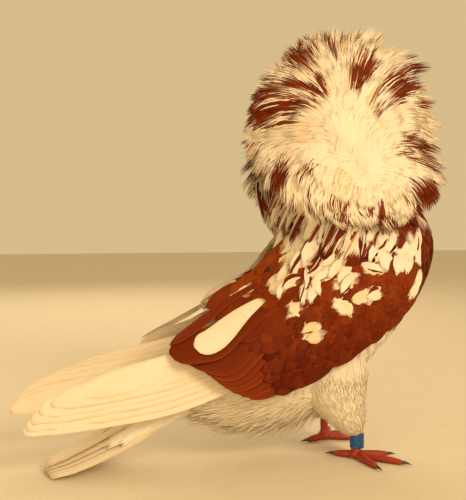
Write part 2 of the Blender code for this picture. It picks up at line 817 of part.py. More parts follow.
def build_primaries(side, label, collection):
    """The white outer flight feathers, layered outward from the outermost one."""
    rings = []
    for step in range(4):
        section = section_at(OUTER_FLIGHT, OUTER_FLIGHT_BASE * step / 3)
        upper = sided(Vector(section[0:3]), side)
        lower = sided(Vector(section[3:6]), side)
        middle = (upper + lower) / 2
        height = (upper - lower) / 2
        rings.append([
            middle + height * math.cos(angle) + BODY_Y * OUTER_BASE_DEPTH * math.sin(angle)
            for angle in (math.tau * k / OUTER_BASE_SIDES for k in range(OUTER_BASE_SIDES))
        ])
    base = add_object("primaries_" + label, loft(rings), collection, "white_feather")
    pieces = []
    middle_layer = (len(OUTER_VANES) - 1) / 2
    for layer, spec in enumerate(OUTER_VANES):
        bm = flight_vane(
            OUTER_FLIGHT, spec, (middle_layer - layer) * LAYER, side,
            OUTER_VANE_WIDTH, 0.0, OUTER_VANE_START, 0.0,
        )
        pieces.append(add_object("vane", bm, collection, "white_feather"))
    boolean(base, pieces, "UNION")
    rooms = [
        trunk_solid("trunk_room", collection, BODY_GAP),
        inner_flight_solid("inner_room", side, collection, 1.0, BODY_GAP),
        wing_room(side, collection),
    ]
    boolean(base, rooms, "DIFFERENCE")
    return base


# Feathers


def vane(points, acrosses, widths, thickness):
    """A closed feather vane along points, split into triangles alike on both faces."""
    bm = bmesh.new()
    rows = []
    last = len(points) - 1
    for i, (point, across, width) in enumerate(zip(points, acrosses, widths)):
        along = (points[min(i + 1, last)] - points[max(i - 1, 0)]).normalized()
        side = (across - along * across.dot(along)).normalized()
        raised = side.cross(along) * thickness / 2
        half = side * width / 2
        rows.append([
            bm.verts.new(point - half - raised),
            bm.verts.new(point + half - raised),
            bm.verts.new(point + half + raised),
            bm.verts.new(point - half + raised),
        ])
    for near, far in zip(rows, rows[1:]):
        for a, b in ((0, 1), (2, 3)):
            first, second = (a, b) if a == 0 else (b, a)
            bm.faces.new((near[first], near[second], far[second]))
            bm.faces.new((near[first], far[second], far[first]))
        for a, b in ((1, 2), (3, 0)):
            bm.faces.new((near[a], near[b], far[b]))
            bm.faces.new((near[a], far[b], far[a]))
    bm.faces.new(rows[0])
    bm.faces.new(list(reversed(rows[-1])))
    return bm


# Tail


def tail_frame():
    """Directions along the tail toward its end, and up from its upper face."""
    along = Vector((-math.cos(TAIL_SLOPE), 0.0, -math.sin(TAIL_SLOPE)))
    up = Vector((-math.sin(TAIL_SLOPE), 0.0, math.cos(TAIL_SLOPE)))
    return along, up


def floor_room(collection):
    """A block under the floor, to cut flats at floor level."""
    bm = bmesh.new()
    bmesh.ops.create_cube(bm, size=0.6)
    bmesh.ops.translate(bm, vec=(-0.1, 0.0, -0.3), verts=bm.verts)
    return add_object("floor_room", bm, collection, "white_feather")


def build_tail(collection):
    """Twelve feathers in pairs, the middle pair on top, held by the coverts at the root."""
    along, up = tail_frame()
    rings = []
    for t, half_width, depth in TAIL_BASE:
        middle = TAIL_ROOT + along * TAIL_LENGTH * t
        rings.append([
            middle + BODY_Y * half_width * math.cos(angle) + up * depth * math.sin(angle)
            for angle in (math.tau * k / TAIL_BASE_SIDES for k in range(TAIL_BASE_SIDES))
        ])
    tail = add_object("tail", loft(rings), collection, "white_feather")
    pieces = []
    outermost = TAIL_HALF_WIDTH_END - RECTRIX_WIDTH / 2
    for pair in range(TAIL_PAIRS):
        share = pair / (TAIL_PAIRS - 1)
        for side in (-1, 1):
            level = (TAIL_PAIRS - 0.5 - 2 * pair - (side < 0)) * LAYER
            points = []
            for step in RECTRIX_STEPS:
                t = min(step, 1.0 - RECTRIX_FALL * share)
                reach = TAIL_HALF_WIDTH_ROOT * (1 - t) + outermost * t
                out = BODY_Y * side * (TOP_PAIR_OUT + (reach - TOP_PAIR_OUT) * share)
                points.append(TAIL_ROOT + along * TAIL_LENGTH * t + up * level + out)
            widths = [RECTRIX_WIDTH * w for w in RECTRIX_SHARES]
            bm = vane(points, [BODY_Y] * len(points), widths, VANE_THICKNESS)
            pieces.append(add_object("vane", bm, collection, "white_feather"))
    boolean(tail, pieces, "UNION")
    rooms = [trunk_solid("trunk_room", collection, BODY_GAP), floor_room(collection)]
    boolean(tail, rooms, "DIFFERENCE")
    return tail


# Legs and feet


def build_thigh(side, label, hub, collection):
    """The feathered thigh, from the flank down to the top of the bare shank."""
    stations = [
        (Vector((x, side * out, z)), length, width) for x, out, z, length, width in THIGH_FLANK
    ]
    stations += [
        (Vector((hub.x - behind, hub.y, z)), length, width)
        for behind, z, length, width in THIGH_SHANK
    ]
    rings = []
    for middle, half_length, half_width in stations:
        rings.append([
            middle + Vector((half_length * math.cos(angle), half_width * math.sin(angle), 0.0))
            for angle in (math.tau * k / THIGH_SIDES for k in range(THIGH_SIDES))
        ])
    thigh = add_object("thigh_" + label, loft(rings), collection, "white_feather")
    boolean(thigh, [trunk_solid("trunk_room", collection, BODY_GAP)], "DIFFERENCE")
    return thigh


def build_shank(label, hub, collection):
    """The bare leg between the sole and the thigh's feathers."""
    bottom = hub + Vector((0.0, 0.0, SHANK_BOTTOM))
    top = hub + Vector((-SHANK_LEAN, 0.0, SHANK_TOP - GAP))
    middle = bottom.lerp(top, 0.5)
    shank = limb([bottom, middle, top], SHANK_RADII, sides=10)
    return add_object("shank_" + label, shank, collection, "foot_skin")


def toe_path(hub, heading, length):
    """The middle line of a toe, which lies on the floor and thins toward its claw."""
    forward = Vector((math.cos(heading), math.sin(heading), 0.0))
    return [
        hub + forward * length * step + Vector((0.0, 0.0, height))
        for step, height in zip(TOE_STEPS, TOE_HEIGHTS)
    ]


def build_foot(side, label, hub, heading, collection):
    """The sole and its four toes, with a claw on each toe as a part of its own."""
    pieces = []
    for name, outward_turn, length in TOES:
        toward = heading + side * outward_turn
        path = toe_path(hub, toward, length)
        toe = limb(path, TOE_RADII, sides=6)
        pieces.append(add_object("toe", toe, collection, "foot_skin"))
        build_claw(f"claw_{label}_{name}", path, toward, collection)
    bm = bmesh.new()
    bmesh.ops.create_uvsphere(bm, u_segments=10, v_segments=6, radius=1.0)
    bmesh.ops.scale(bm, vec=SOLE_HALF, verts=bm.verts)
    bmesh.ops.translate(bm, vec=hub + Vector((0.0, 0.0, SOLE_HEIGHT)), verts=bm.verts)
    foot = add_object("foot_" + label, bm, collection, "foot_skin")
    boolean(foot, pieces, "UNION")
    bottom = hub + Vector((0.0, 0.0, SHANK_BOTTOM - GAP))
    top = hub + Vector((0.0, 0.0, SHANK_TOP))
    hole = limb([bottom, top], (SHANK_HOLE, SHANK_HOLE), sides=10)
    room = add_object("shank_room", hole, collection, "foot_skin")
    boolean(foot, [floor_room(collection), room], "DIFFERENCE")
    return foot


def build_claw(name, toe, heading, collection):
    """A curved claw that starts face to face with the end of its toe."""
    forward = Vector((math.cos(heading), math.sin(heading), 0.0))
    up = Vector((0.0, 0.0, 1.0))
    along = (toe[-1] - toe[-2]).normalized()
    start = toe[-1] + along * GAP
    points = [start, start + along * CLAW_BASE]
    points += [start + forward * ahead + up * above for ahead, above in CLAW_CURVE]
    return add_object(name, limb(points, CLAW_RADII, sides=5), collection, "claw_horn")


def build_leg_ring(collection):
    """A closed ring, loose on the right shank, turned from its wall's profile."""
    inner = RING_BORE / 2
    outer = inner + RING_WALL
    profile = ((outer, RING_HEIGHT), (outer, 0.0), (inner, 0.0), (inner, RING_HEIGHT))
    mesh = bpy.data.meshes.new("leg_ring")
    mesh.from_pydata([(x, 0.0, z) for x, z in profile], [(0, 1), (1, 2), (2, 3), (3, 0)], [])
    ring = bpy.data.objects.new("leg_ring", mesh)
    collection.objects.link(ring)
    mesh.materials.append(material("ring_blue"))
    turn = ring.modifiers.new("turn", "SCREW")
    turn.steps = 20
    turn.render_steps = 20
    turn.use_merge_vertices = True
    turn.merge_threshold = 0.0001
    ring.location = HUB_RIGHT + Vector((RING_FORWARD, 0.0, RING_BOTTOM))
    return ring


# Placing


def stand_on_origin(collection):
    """Parent all parts to an empty that puts the box's underside middle at the origin."""
    bpy.context.view_layer.update()
    graph = bpy.context.evaluated_depsgraph_get()
    corners = []
    for item in collection.objects:
        shown = item.evaluated_get(graph)
        mesh = shown.to_mesh()
        corners.extend(item.matrix_world @ vert.co for vert in mesh.vertices)
        shown.to_mesh_clear()
    low = [min(point[axis] for point in corners) for axis in range(3)]
    high = [max(point[axis] for point in corners) for axis in range(3)]
    root = bpy.data.objects.new("pigeon_origin", None)
    root.location = (-(low[0] + high[0]) / 2, -(low[1] + high[1]) / 2, -low[2])
    bpy.context.scene.collection.objects.link(root)
    for item in collection.objects:
        item.parent = root


def main():
    clear_scene()
    pigeon = new_collection("jacobin_pigeon")
    trunk_solid("torso", pigeon)
    neck = neck_solid("neck", pigeon)
    boolean(neck, [head_oval("head_room", pigeon, GAP)], "DIFFERENCE")
    build_head(pigeon)
    build_bill(pigeon)
    build_cere(pigeon)
    for side, label, hub, heading in (
        (-1, "right", HUB_RIGHT, HEADING_RIGHT),
        (1, "left", HUB_LEFT, HEADING_LEFT),
    ):
        build_ruff(side, label, pigeon)
        build_wing(side, label, pigeon)
        build_secondaries(side, label, pigeon)
        build_primaries(side, label, pigeon)
        build_thigh(side, label, hub, pigeon)
        build_shank(label, hub, pigeon)
        build_foot(side, label, hub, heading, pigeon)
    build_tail(pigeon)
    build_leg_ring(pigeon)
    stand_on_origin(pigeon)


main()
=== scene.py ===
"""Jacobin pigeon, life size, as a still display model in full plumage.

It is laid out as a Blender add-on and run as a script. Metres, +Z up, the bird faces +X.
Sizes are given on a floor plan whose zero is between the two feet, and PLACE moves each
finished mesh from there to where the solid parts stand.
"""

import math

import bmesh
import bpy
import numpy as np
from bpy.props import FloatProperty, FloatVectorProperty, IntProperty, PointerProperty
from mathutils import Matrix, Vector


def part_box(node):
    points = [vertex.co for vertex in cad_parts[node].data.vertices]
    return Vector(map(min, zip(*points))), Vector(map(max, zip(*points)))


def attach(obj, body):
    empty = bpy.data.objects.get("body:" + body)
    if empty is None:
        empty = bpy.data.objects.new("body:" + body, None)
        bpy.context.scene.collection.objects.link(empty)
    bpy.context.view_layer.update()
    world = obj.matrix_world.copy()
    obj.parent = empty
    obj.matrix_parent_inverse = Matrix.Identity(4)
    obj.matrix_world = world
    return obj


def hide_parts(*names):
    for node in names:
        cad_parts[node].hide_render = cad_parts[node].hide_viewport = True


bl_info = {
    "name": "Jacobin pigeon",
    "version": (1, 0, 0),
    "blender": (4, 5, 0),
    "location": "View3D > Sidebar > Pigeon",
    "description": "Plumage, head, feet and stage for a life size jacobin pigeon",
    "category": "Add Mesh",
}

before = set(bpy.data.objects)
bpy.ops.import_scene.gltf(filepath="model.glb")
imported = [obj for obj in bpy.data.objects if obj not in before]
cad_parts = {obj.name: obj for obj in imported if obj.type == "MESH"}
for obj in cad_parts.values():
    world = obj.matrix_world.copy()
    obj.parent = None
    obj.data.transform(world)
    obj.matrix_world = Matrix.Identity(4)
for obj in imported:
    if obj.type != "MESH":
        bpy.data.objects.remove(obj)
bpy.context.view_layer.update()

BODY = "root"
SEED = 23

# The ring on the right leg shows how far the solid parts stand from the floor plan
RING_MIDDLE = Vector((-0.0004, -0.0260, 0.01255))
RING_LOW, RING_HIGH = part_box("leg_ring")
PLACE = (RING_LOW + RING_HIGH) / 2 - RING_MIDDLE

# Trunk and neck sections, tail to head: back (x, z), belly (x, z) and half width
TRUNK = (
    (-0.121, 0.0585, -0.113, 0.0335, 0.0175),
    (-0.101, 0.0800, -0.091, 0.0225, 0.0245),
    (-0.077, 0.105, -0.057, 0.0185, 0.0330),
    (-0.060, 0.124, -0.020, 0.030, 0.0390),
    (-0.051, 0.139, 0.015, 0.063, 0.0420),
    (-0.047, 0.150, 0.044, 0.096, 0.0430),
    (-0.046, 0.158, 0.061, 0.124, 0.0425),
    (-0.045, 0.165, 0.065, 0.147, 0.0405),
    (-0.043, 0.172, 0.058, 0.167, 0.0360),
    (-0.034, 0.187, 0.045, 0.184, 0.0270),
    (-0.020, 0.204, 0.037, 0.203, 0.0195),
    (-0.005, 0.221, 0.036, 0.217, 0.0150),
    (0.006, 0.236, 0.038, 0.229, 0.0132),
)
# How deep each skin lies under its surface, with points in a ring and rings in all, then the
# cell of the mesh that joins them and how often it is smoothed
SKIN_DEPTH = 0.0009
TRUNK_RING, TRUNK_ROWS = 32, 34
THIGH_SKIN_DEPTH = 0.0005
THIGH_RING, THIGH_ROWS = 20, 14
HEAD_SKIN_DEPTH = 0.0004
SKIN_VOXEL = 0.0019
SKIN_RELAX = 6
# Tone of a skin, how far out on a feather it is shaded as, and scale of its pattern
SKIN_TONE, SKIN_TIP = 0.5, 0.4
SKIN_PATTERN = 0.2

# Head, eyes and bill
HEAD_MIDDLE = (0.029, 0.0, 0.2405)
HEAD_HALF = (0.0175, 0.0128, 0.0145)
HEAD_TILT = math.radians(8)
HEAD_COUNT = 1500
HEAD_SHARES = (0.10, 0.95)
HEAD_STEPS = 5
HEAD_PROFILE = (0.6, 1.0, 0.9, 0.6, 0.1)
EYE_MIDDLE = Vector((0.0345, -0.0088, 0.2438))
EYE_RADIUS = 0.0043
EYE_CLEARANCE = 0.0030
EYE_OUTWARD = Vector((0.28, -1.0, 0.10)).normalized()
PUPIL_ANGLE = math.radians(27)
IRIS_ANGLE = math.radians(60)
LID_ANGLE = math.radians(52)
BILL_ROOT = Vector((0.0430, 0.0, 0.2386))
BILL_TIP = Vector((0.0625, 0.0, 0.2325))
BILL_HALF_WIDTH = 0.0034
BILL_UPPER_DEPTH = 0.0032
BILL_LOWER_DEPTH = 0.0022
BILL_LOWER_REACH = 0.93
BILL_DROOP = 0.0012
BILL_HOOK = 0.0010
MOUTH_GAP = 0.00012
BILL_ROWS, BILL_POINTS = 16, 15
# From the bill's root: nostril and lobe of the cere, forward, out and up
NOSTRIL = (0.0072, 0.0029, 0.0014)
NOSTRIL_RADIUS = 0.0011
NOSTRIL_DEPTH = 0.0005
CERE_LOBE = (0.0052, 0.0013, 0.0033)
CERE_HALF = (0.0036, 0.0021, 0.0021)
CERE_TILT = math.radians(20)
# Rolls of lid, as shares of the eye's radius out and up, with the roll's own radius
LID_ROLLS = (
    (math.sin(LID_ANGLE), math.cos(LID_ANGLE), 0.00055),
    (1.03, 0.38, 0.0007),
    (1.22, 0.18, 0.0006),
)
# How far the ring of lids is drawn out along the slit and pinched across it
LID_OVAL = (1.04, 0.93)

# Hood: rim oval, the two whorls that its feathers spread from, and how far it stands out
HOOD_MIDDLE = (0.0005, 0.2290)
HOOD_HALF = (0.0755, 0.0705)
LOWER_WHORL = (-0.0030, 0.1915)
UPPER_WHORL = (-0.0220, 0.2150)
UPPER_WHORL_ANGLE = math.radians(125)
WHORL_OUT = 0.0440
RIM_OUT_BACK = 0.0010
RIM_OUT_FRONT = 0.0150
RIM_OUT_BELOW = 0.0475
HOOD_FRONT_CUT = 0.0085
HOOD_SWEEP = math.radians(31)
HOOD_CLOSE = 0.86
HOOD_BELOW_STRETCH = 0.10

# Hood feathers, rim first: name, feathers round the dome, locks in each, reach of root and
# tip, rise above the dome, how far the tips flick out, how ragged they are and lock width
HOOD_TIERS = (
    ("rim", 66, 30, 0.50, 0.985, 0.0000, 0.0040, 0.020, 1.05),
    ("fringe", 58, 30, 0.42, 0.930, 0.0004, 0.0030, 0.030, 1.00),
    ("crown", 50, 32, 0.28, 0.82, 0.0006, 0.0014, 0.045, 1.00),
    ("dome", 44, 30, 0.14, 0.64, 0.0008, 0.0005, 0.090, 1.05),
    ("whorl", 34, 24, 0.03, 0.47, 0.0008, 0.0000, 0.200, 1.40),
    ("centre", 26, 20, -0.08, 0.30, 0.0009, 0.0000, 0.260, 1.60),
    ("lining", 44, 26, 0.20, 0.96, 0.0006, 0.0004, 0.040, 1.10),
)
HOOD_SHELL_REACHES = (0.01, 0.08, 0.18, 0.3, 0.5, 0.7, 0.84)
HOOD_SHELL_DEPTH = 0.0004
HOOD_SHELL_GAP = 0.0006
HOOD_SHELL_RING = 48
HOOD_DROOP = math.radians(15)
LINING_DEPTH = 0.0036
LINING_THICKENING = 0.0080
LINING_GAP = 0.0012
# Points along a lock, how far it stands off its feather's shaft and how broad it is there
HOOD_STEPS = 6
HOOD_FAN = (0.40, 0.85, 1.0, 1.0, 0.92, 0.80)
HOOD_PROFILE = (0.6, 1.0, 1.0, 0.95, 0.75, 0.06)
# How wide a feather's locks spread, how deep they root, how much feathers and single locks
# bend and stray, and from which draw and which reach a lock is painted ochre as shade
HOOD_SPREAD = 0.64
HOOD_ROOT_DEPTH = 0.0011
HOOD_BEND = (0.42, 0.14)
HOOD_STRAY = 0.00016
HOOD_SHADE_DRAW = 0.76
HOOD_SHADE_FROM = 0.42

# Where the hood's outline falls short: angle and half width in degrees, share of the reach.
# The right side runs on low behind, by the trail's share
HOOD_NOTCHES = ((63, 4.5, 0.09), (142, 24, 0.055), (20, 7, 0.02), (178, 6, 0.02))
HOOD_TRAIL = (217, 25, -0.21)

# Long mane feathers from the hood down over the back: number on each side, locks in each,
# angles and reaches of their roots on the hood, tips (x, z) of the first and last, widths
MANE_COUNT = 130
MANE_LOCKS = 6
MANE_ANGLES = (math.radians(214), math.radians(268))
MANE_REACHES = (0.50, 0.92)
MANE_TIPS = ((-0.056, 0.160), (-0.016, 0.142))
MANE_WIDTHS = (0.0014, 0.0034)
MANE_DEPTH = 0.0014
MANE_STEPS = 8
MANE_FAN = (0.35, 0.85, 1.0, 0.95, 0.62)
MANE_PROFILE = (0.55, 0.95, 1.0, 0.80, 0.12)

# Feathers of trunk and neck: name, number, locks in each, range of share, length and width
BODY_TIERS = (
    ("trunk", 1150, 8, (0.03, 0.66), 0.0200, 0.0090),
    ("cape", 300, 14, (0.52, 0.80), 0.0230, 0.0090),
    ("neck", 200, 10, (0.72, 0.985), 0.0170, 0.0066),
)
BODY_STEPS = 5
BODY_FAN = (0.35, 0.85, 1.0, 0.92, 0.62)
BODY_PROFILE = (0.55, 0.95, 1.0, 0.78, 0.12)
BODY_RISE = 0.0006
BODY_ROOT_DEPTH = 0.0012
# Heights between which the neck turns to red and white streaks
NECK_STREAKS = (0.150, 0.168)
# Feathers of the throat: where red ends on the skin, number, spread round the neck, middle
THROAT_LOW = 0.205
THROAT_COUNT = 420
THROAT_SPREAD = 0.24
THROAT_MIDDLE = (0.015, 0.0, 0.222)
THROAT_BOW = 0.0012
THROAT_STEPS = 6
# Breadth of a small feather from root to tip
SMALL_PROFILE = (0.5, 0.9, 1.0, 0.9, 0.6, 0.1)
# Down: it lies low on thigh and belly, and hangs loose below
DOWN_TOP = 0.062
DOWN_STEPS = 4
DOWN_PROFILE = (0.5, 1.0, 0.8, 0.08)
DOWN_LENGTHS = (0.012, 0.022)
DOWN_WIDTHS = (0.0007, 0.0014)
DOWN_RISE = 0.0004
VENT_HANG = 0.0095
THIGH_HANG = 0.0030

# Wing shield: upper edge, lower edge and outward bulge of each section, front to back
WING = (
    (0.036, -0.033, 0.143, 0.047, -0.028, 0.117, 0.0050),
    (0.020, -0.034, 0.152, 0.027, -0.0385, 0.099, 0.0085),
    (-0.012, -0.029, 0.154, 0.000, -0.045, 0.082, 0.0105),
    (-0.043, -0.017, 0.147, -0.029, -0.0465, 0.068, 0.0125),
    (-0.066, -0.010, 0.124, -0.055, -0.0450, 0.056, 0.0130),
)
WING_OUTWARD = (0.0, -0.9524, 0.3048)
INNER_FLIGHT = (
    (-0.066, -0.010, 0.124, -0.055, -0.0450, 0.056, 0.0130),
    (-0.090, -0.011, 0.111, -0.072, -0.0440, 0.0525, 0.0110),
    (-0.110, -0.016, 0.099, -0.087, -0.0430, 0.0545, 0.0080),
    (-0.124, -0.022, 0.089, -0.105, -0.0400, 0.0690, 0.0040),
    (-0.1325, -0.028, 0.0815, -0.129, -0.0320, 0.0760, 0.0010),
)
INNER_DEPTH = 0.0034
INNER_TILT = math.radians(6)
INNER_PROFILE = (0.55, 0.78, 0.92, 1.0, 1.0, 0.98, 0.90, 0.62, 0.10)
# The white tertial is a drop, broadest at this share of its length
DROP_PROFILE = (0.15, 0.48, 0.75, 0.93, 1.0, 1.0)
DROP_BROADEST = 0.80

# Secondaries and tertials, lowest first: place across the wing at root and tip, end, width
INNER_VANES = (
    (0.95, 0.94, 0.44, 0.0150),
    (0.88, 0.92, 0.53, 0.0150),
    (0.81, 0.90, 0.61, 0.0150),
    (0.74, 0.89, 0.68, 0.0150),
    (0.67, 0.88, 0.74, 0.0155),
    (0.60, 0.86, 0.80, 0.0160),
    (0.53, 0.83, 0.85, 0.0165),
    (0.45, 0.76, 0.91, 0.0180),
    (0.26, 0.47, 0.995, 0.0260),
    (0.20, 0.41, 0.735, 0.0180),
    (0.05, 0.14, 0.92, 0.0085),
)
WHITE_TERTIAL = 9
LEFT_WHITE_FROM = 6
TERTIAL_RISE = 0.0012

# Coverts: where their last row ends and how it slants, then the size of the largest
COVERT_END = 0.56
COVERT_SLANT = 0.10
COVERT_LENGTH = 0.0250
COVERT_WIDTH = 0.0074
COVERT_RISE = 0.00045
COVERT_STEPS = 6
COVERT_PROFILE = (0.5, 0.9, 1.0, 0.98, 0.80, 0.16)
# The left wing is white behind this x
WHITE_BEHIND = -0.083
# Rings and points across in the skin under the coverts, and its share of the wing's depth
WING_SKIN_RING = 12
WING_SKIN_SHARE = 0.90

# Primaries, as sections of the wing tip and then vanes, in the same forms as above
OUTER_FLIGHT = (
    (-0.064, -0.0290, 0.100, -0.058, -0.0375, 0.062, 0.0020),
    (-0.100, -0.0280, 0.085, -0.090, -0.0350, 0.052, 0.0020),
    (-0.140, -0.0275, 0.073, -0.125, -0.0325, 0.0395, 0.0018),
    (-0.172, -0.0280, 0.064, -0.160, -0.0305, 0.0335, 0.0014),
    (-0.198, -0.0285, 0.0555, -0.190, -0.0300, 0.0305, 0.0010),
    (-0.212, -0.0290, 0.0475, -0.206, -0.0300, 0.0300, 0.0007),
    (-0.220, -0.0295, 0.0350, -0.219, -0.0300, 0.0320, 0.0005),
)
OUTER_VANES = (
    (0.80, 0.50, 1.00),
    (0.72, 0.40, 0.965),
    (0.63, 0.30, 0.92),
    (0.54, 0.22, 0.86),
    (0.45, 0.17, 0.79),
    (0.36, 0.14, 0.71),
    (0.28, 0.12, 0.62),
)
OUTER_VANE_COUNT = 6
OUTER_VANE_WIDTH = 0.0185
OUTER_PROFILE = (0.45, 0.75, 0.92, 1.0, 1.0, 0.95, 0.85, 0.62, 0.16)
RIPPLE = 0.00036
RIPPLE_LENGTH = 0.0076

# Vanes: points across, steps along, the share of their length that they are shaded as, gap
# between two that overlap, thickness, height and half width of the shaft, and the edge's
# raised tone: wear on red vanes, an ochre painted shade on white ones
VANE_POINTS = 9
VANE_STEPS = 18
VANE_TIP = 0.9
FLIGHT_LAYER = 0.00034
FLIGHT_THICKNESS = 0.00018
SHAFT_HEIGHT = 0.00010
SHAFT_HALF_WIDTH = 0.10
VANE_EDGE_WEAR_AND_SHADE = 0.30
OUTER_TILT = math.radians(3.5)
# How far the tip of the left wing reaches further back and down
LEFT_REACH = 0.0100
LEFT_DROP = 0.0030

# Tail: root, length and slope, spread of each half, and how the outer feathers lie over
TAIL_ROOT = (-0.108, 0.0, 0.0500)
TAIL_LENGTH = 0.1090
TAIL_SLOPE = math.radians(25.5)
TAIL_ALONG = np.array((-math.cos(TAIL_SLOPE), 0.0, -math.sin(TAIL_SLOPE)))
TAIL_UP = np.array((-math.sin(TAIL_SLOPE), 0.0, math.cos(TAIL_SLOPE)))
TAIL_ROOT_SPREAD = 0.0060
TAIL_END_SPREAD = 0.0153
TAIL_PAIRS = 6
FLOOR_GAP = 0.0006
TAIL_LAYER = 0.00026
TAIL_ROOF = math.radians(34)
TAIL_COVERT_SAG = 0.33
TAIL_COVERT_STEPS = 6
TAIL_COVERT_COUNT = 900
TAIL_COVERT_SHARES = (-0.25, 0.72)
TAIL_COVERT_LOWEST = 0.001
RECTRIX_WIDTH = 0.0225
RECTRIX_MIDDLE_OUT = 0.0012
RECTRIX_STEPS = 16
RECTRIX_PROFILE = (0.30, 0.55, 0.75, 0.88, 0.96, 1.0, 1.0, 0.9, 0.5)

# Legs: where each foot stands, and the way its middle toe points
HUBS = {"right": (-0.0010, -0.0260), "left": (-0.0050, 0.0220)}
HEADINGS = {"right": math.radians(-43), "left": math.radians(21)}
SHANK_TOP = 0.0180
SHANK_RADIUS = 0.0027
SHANK_ROWS, SHANK_POINTS = 26, 20
# Toes: angle from the middle one in degrees and length, then height and radius along each
TOES = {
    "inner": (-40, 0.0225), "middle": (0, 0.0325), "outer": (40, 0.0260), "hind": (174, 0.0150),
}
TOE_HEIGHTS = (0.0034, 0.0029, 0.00245, 0.0023, 0.00175)
TOE_RADII = (0.0031, 0.0024, 0.0026, 0.0022, 0.0018)
TOE_ROWS = 46
SCUTE_LENGTH = 0.0019
SCUTE_RISE = 0.00016
CLAW_LENGTH = 0.0075
CLAW_RADIUS = 0.00115
CLAW_TIP_RADIUS = 0.00012
# Least height of toes and claws above the floor
TOE_GAP = 0.0002
CLAW_GAP = 0.0001
PAD_HALF = (0.0050, 0.0048, 0.0034)
PAD_HEIGHT = 0.0036

SIDES = (("right", -1), ("left", 1))

# White flecks on wing and mantle: middle (x, z), half length, half width and tilt in degrees
WHITE_FLECKS = (
    (-0.0727, 0.1311, 0.0100, 0.0028, 48),
    (-0.0539, 0.1221, 0.0110, 0.0050, 42),
    (-0.0409, 0.1424, 0.0150, 0.0075, 50),
    (-0.0388, 0.1190, 0.0110, 0.0048, 66),
    (-0.0259, 0.1312, 0.0120, 0.0050, 30),
    (-0.0171, 0.1233, 0.0080, 0.0056, 30),
    (-0.0146, 0.1509, 0.0075, 0.0058, 70),
    (-0.0024, 0.1521, 0.0140, 0.0055, 56),
    (0.0019, 0.1308, 0.0078, 0.0032, -10),
    (0.0125, 0.1455, 0.0125, 0.0068, 50),
    (0.0273, 0.1401, 0.0140, 0.0055, 62),
    (0.0389, 0.1461, 0.0120, 0.0026, 80),
    (0.0363, 0.1190, 0.0105, 0.0030, 62),
    (-0.0028, 0.1135, 0.0100, 0.0042, 12),
    (-0.0199, 0.1067, 0.0072, 0.0042, -42),
    (-0.0412, 0.0898, 0.0066, 0.0055, 20),
    (-0.0505, 0.1053, 0.0042, 0.0034, 40),
    (-0.0791, 0.1142, 0.0090, 0.0022, 32),
)
# A fleck longer than the split is two feathers in line, and one broader than the next value
# is two abreast. The third is how near the middle plane a feather may lie
FLECK_SPLIT = 0.0095
FLECK_ABREAST = 0.0047
FLECK_NEAREST = 0.022
FLECK_RISE = 0.0015
FLECK_LOCKS = 7
FLECK_STEPS = 6
FLECK_ROOT_DEPTH = 0.0008

# Red patches on the hood, in the same form
RED_PATCHES = (
    (-0.0538, 0.2398, 0.0185, 0.0105, 40),
    (-0.0326, 0.2491, 0.0100, 0.0048, 62),
    (-0.0337, 0.2742, 0.0095, 0.0070, 70),
    (-0.0125, 0.2783, 0.0100, 0.0032, 80),
    (0.0030, 0.2650, 0.0160, 0.0080, 52),
    (0.0098, 0.2476, 0.0075, 0.0044, 42),
    (0.0135, 0.2387, 0.0080, 0.0042, 26),
    (0.0345, 0.2570, 0.0165, 0.0112, 22),
    (0.0425, 0.2120, 0.0150, 0.0135, -8),
    (0.0538, 0.2440, 0.0060, 0.0030, 0),
    (0.0420, 0.1775, 0.0165, 0.0085, -52),
    (-0.0624, 0.1867, 0.0175, 0.0040, 62),
    (-0.0440, 0.1922, 0.0066, 0.0040, 30),
    (0.0060, 0.1680, 0.0075, 0.0026, 78),
)

# Height of the edge between red breast and white belly, and how far left markings are moved
RED_LINE = 0.086
LEFT_SHIFT = (0.009, -0.006)

# Relief of wing and trunk as a grid: its low corner, its cell and its number of cells
RELIEF_LOW = (-0.150, 0.010)
RELIEF_CELL = 0.0015
RELIEF_CELLS = (160, 170)
RELIEF_SAMPLES = 420

# Cross sections of a lock, out and up: a plain ridge, and a vane with a rounded back
CROSS_SECTIONS = {
    3: ((-1.0, 0.0), (0.0, 1.0), (1.0, 0.0)),
    6: ((-1.0, 0.0), (-0.55, 0.55), (0.0, 0.78), (0.55, 0.55), (1.0, 0.0), (0.0, 0.10)),
}
# Places tried for each one that is kept when a surface is sown by its area, and where each
# coat starts in the even series. The tiers of the trunk start as far apart as theirs says
SOWN_SURPLUS = 3.2
SOWN_FROM = {
    "thighs": 900, "trunk": 2000, "vent": 3000, "coverts": 5000, "tail": 8000, "head": 11000,
}
# Step of a surface's numbers over which its slopes are taken
SLOPE_STEP = 0.002
# Half width and length of a feather's patch on the unwrapped skin
PATCH_HALF_WIDTH = 0.0015
PATCH_LENGTH = 0.0030
# Least height of a lock's ridge on hood, mane and flecks, and on the body
THINNEST = 0.00006
BODY_THINNEST = 0.00008
# Share of its tone by which a feather's fine pattern is shifted
PATTERN_SHIFT = 0.05

# Camera and room, then the lamps: name, place, size, power and colour
CAMERA_PLACE = Vector((-0.2114, -0.4949, 0.1581))
CAMERA_YAW = math.radians(14.76)
CAMERA_PITCH = math.radians(1.78)
CAMERA_LENS = 53.94
ROOM_COLOUR = "#F0D29C"
ROOM_STRENGTH = 0.78
FLOOR_HALF = 4.0
LAMP_TARGET = Vector((-0.03, 0.0, 0.14))
LAMPS = (
    ("key", (0.30, -1.00, 0.70), 0.45, 8.0, "#FFE5BE"),
    ("fill", (-0.66, -1.05, 0.36), 0.8, 3.9, "#FFDCA8"),
    ("back", (-0.10, 1.10, 0.90), 0.8, 6.0, "#FFE8C6"),
)


def hex_colour(text):
    """Linear colour from an sRGB hex value."""
    values = [int(text[i:i + 2], 16) / 255 for i in (1, 3, 5)]
    return tuple(v / 12.92 if v <= 0.04045 else ((v + 0.055) / 1.055) ** 2.4 for v in values)


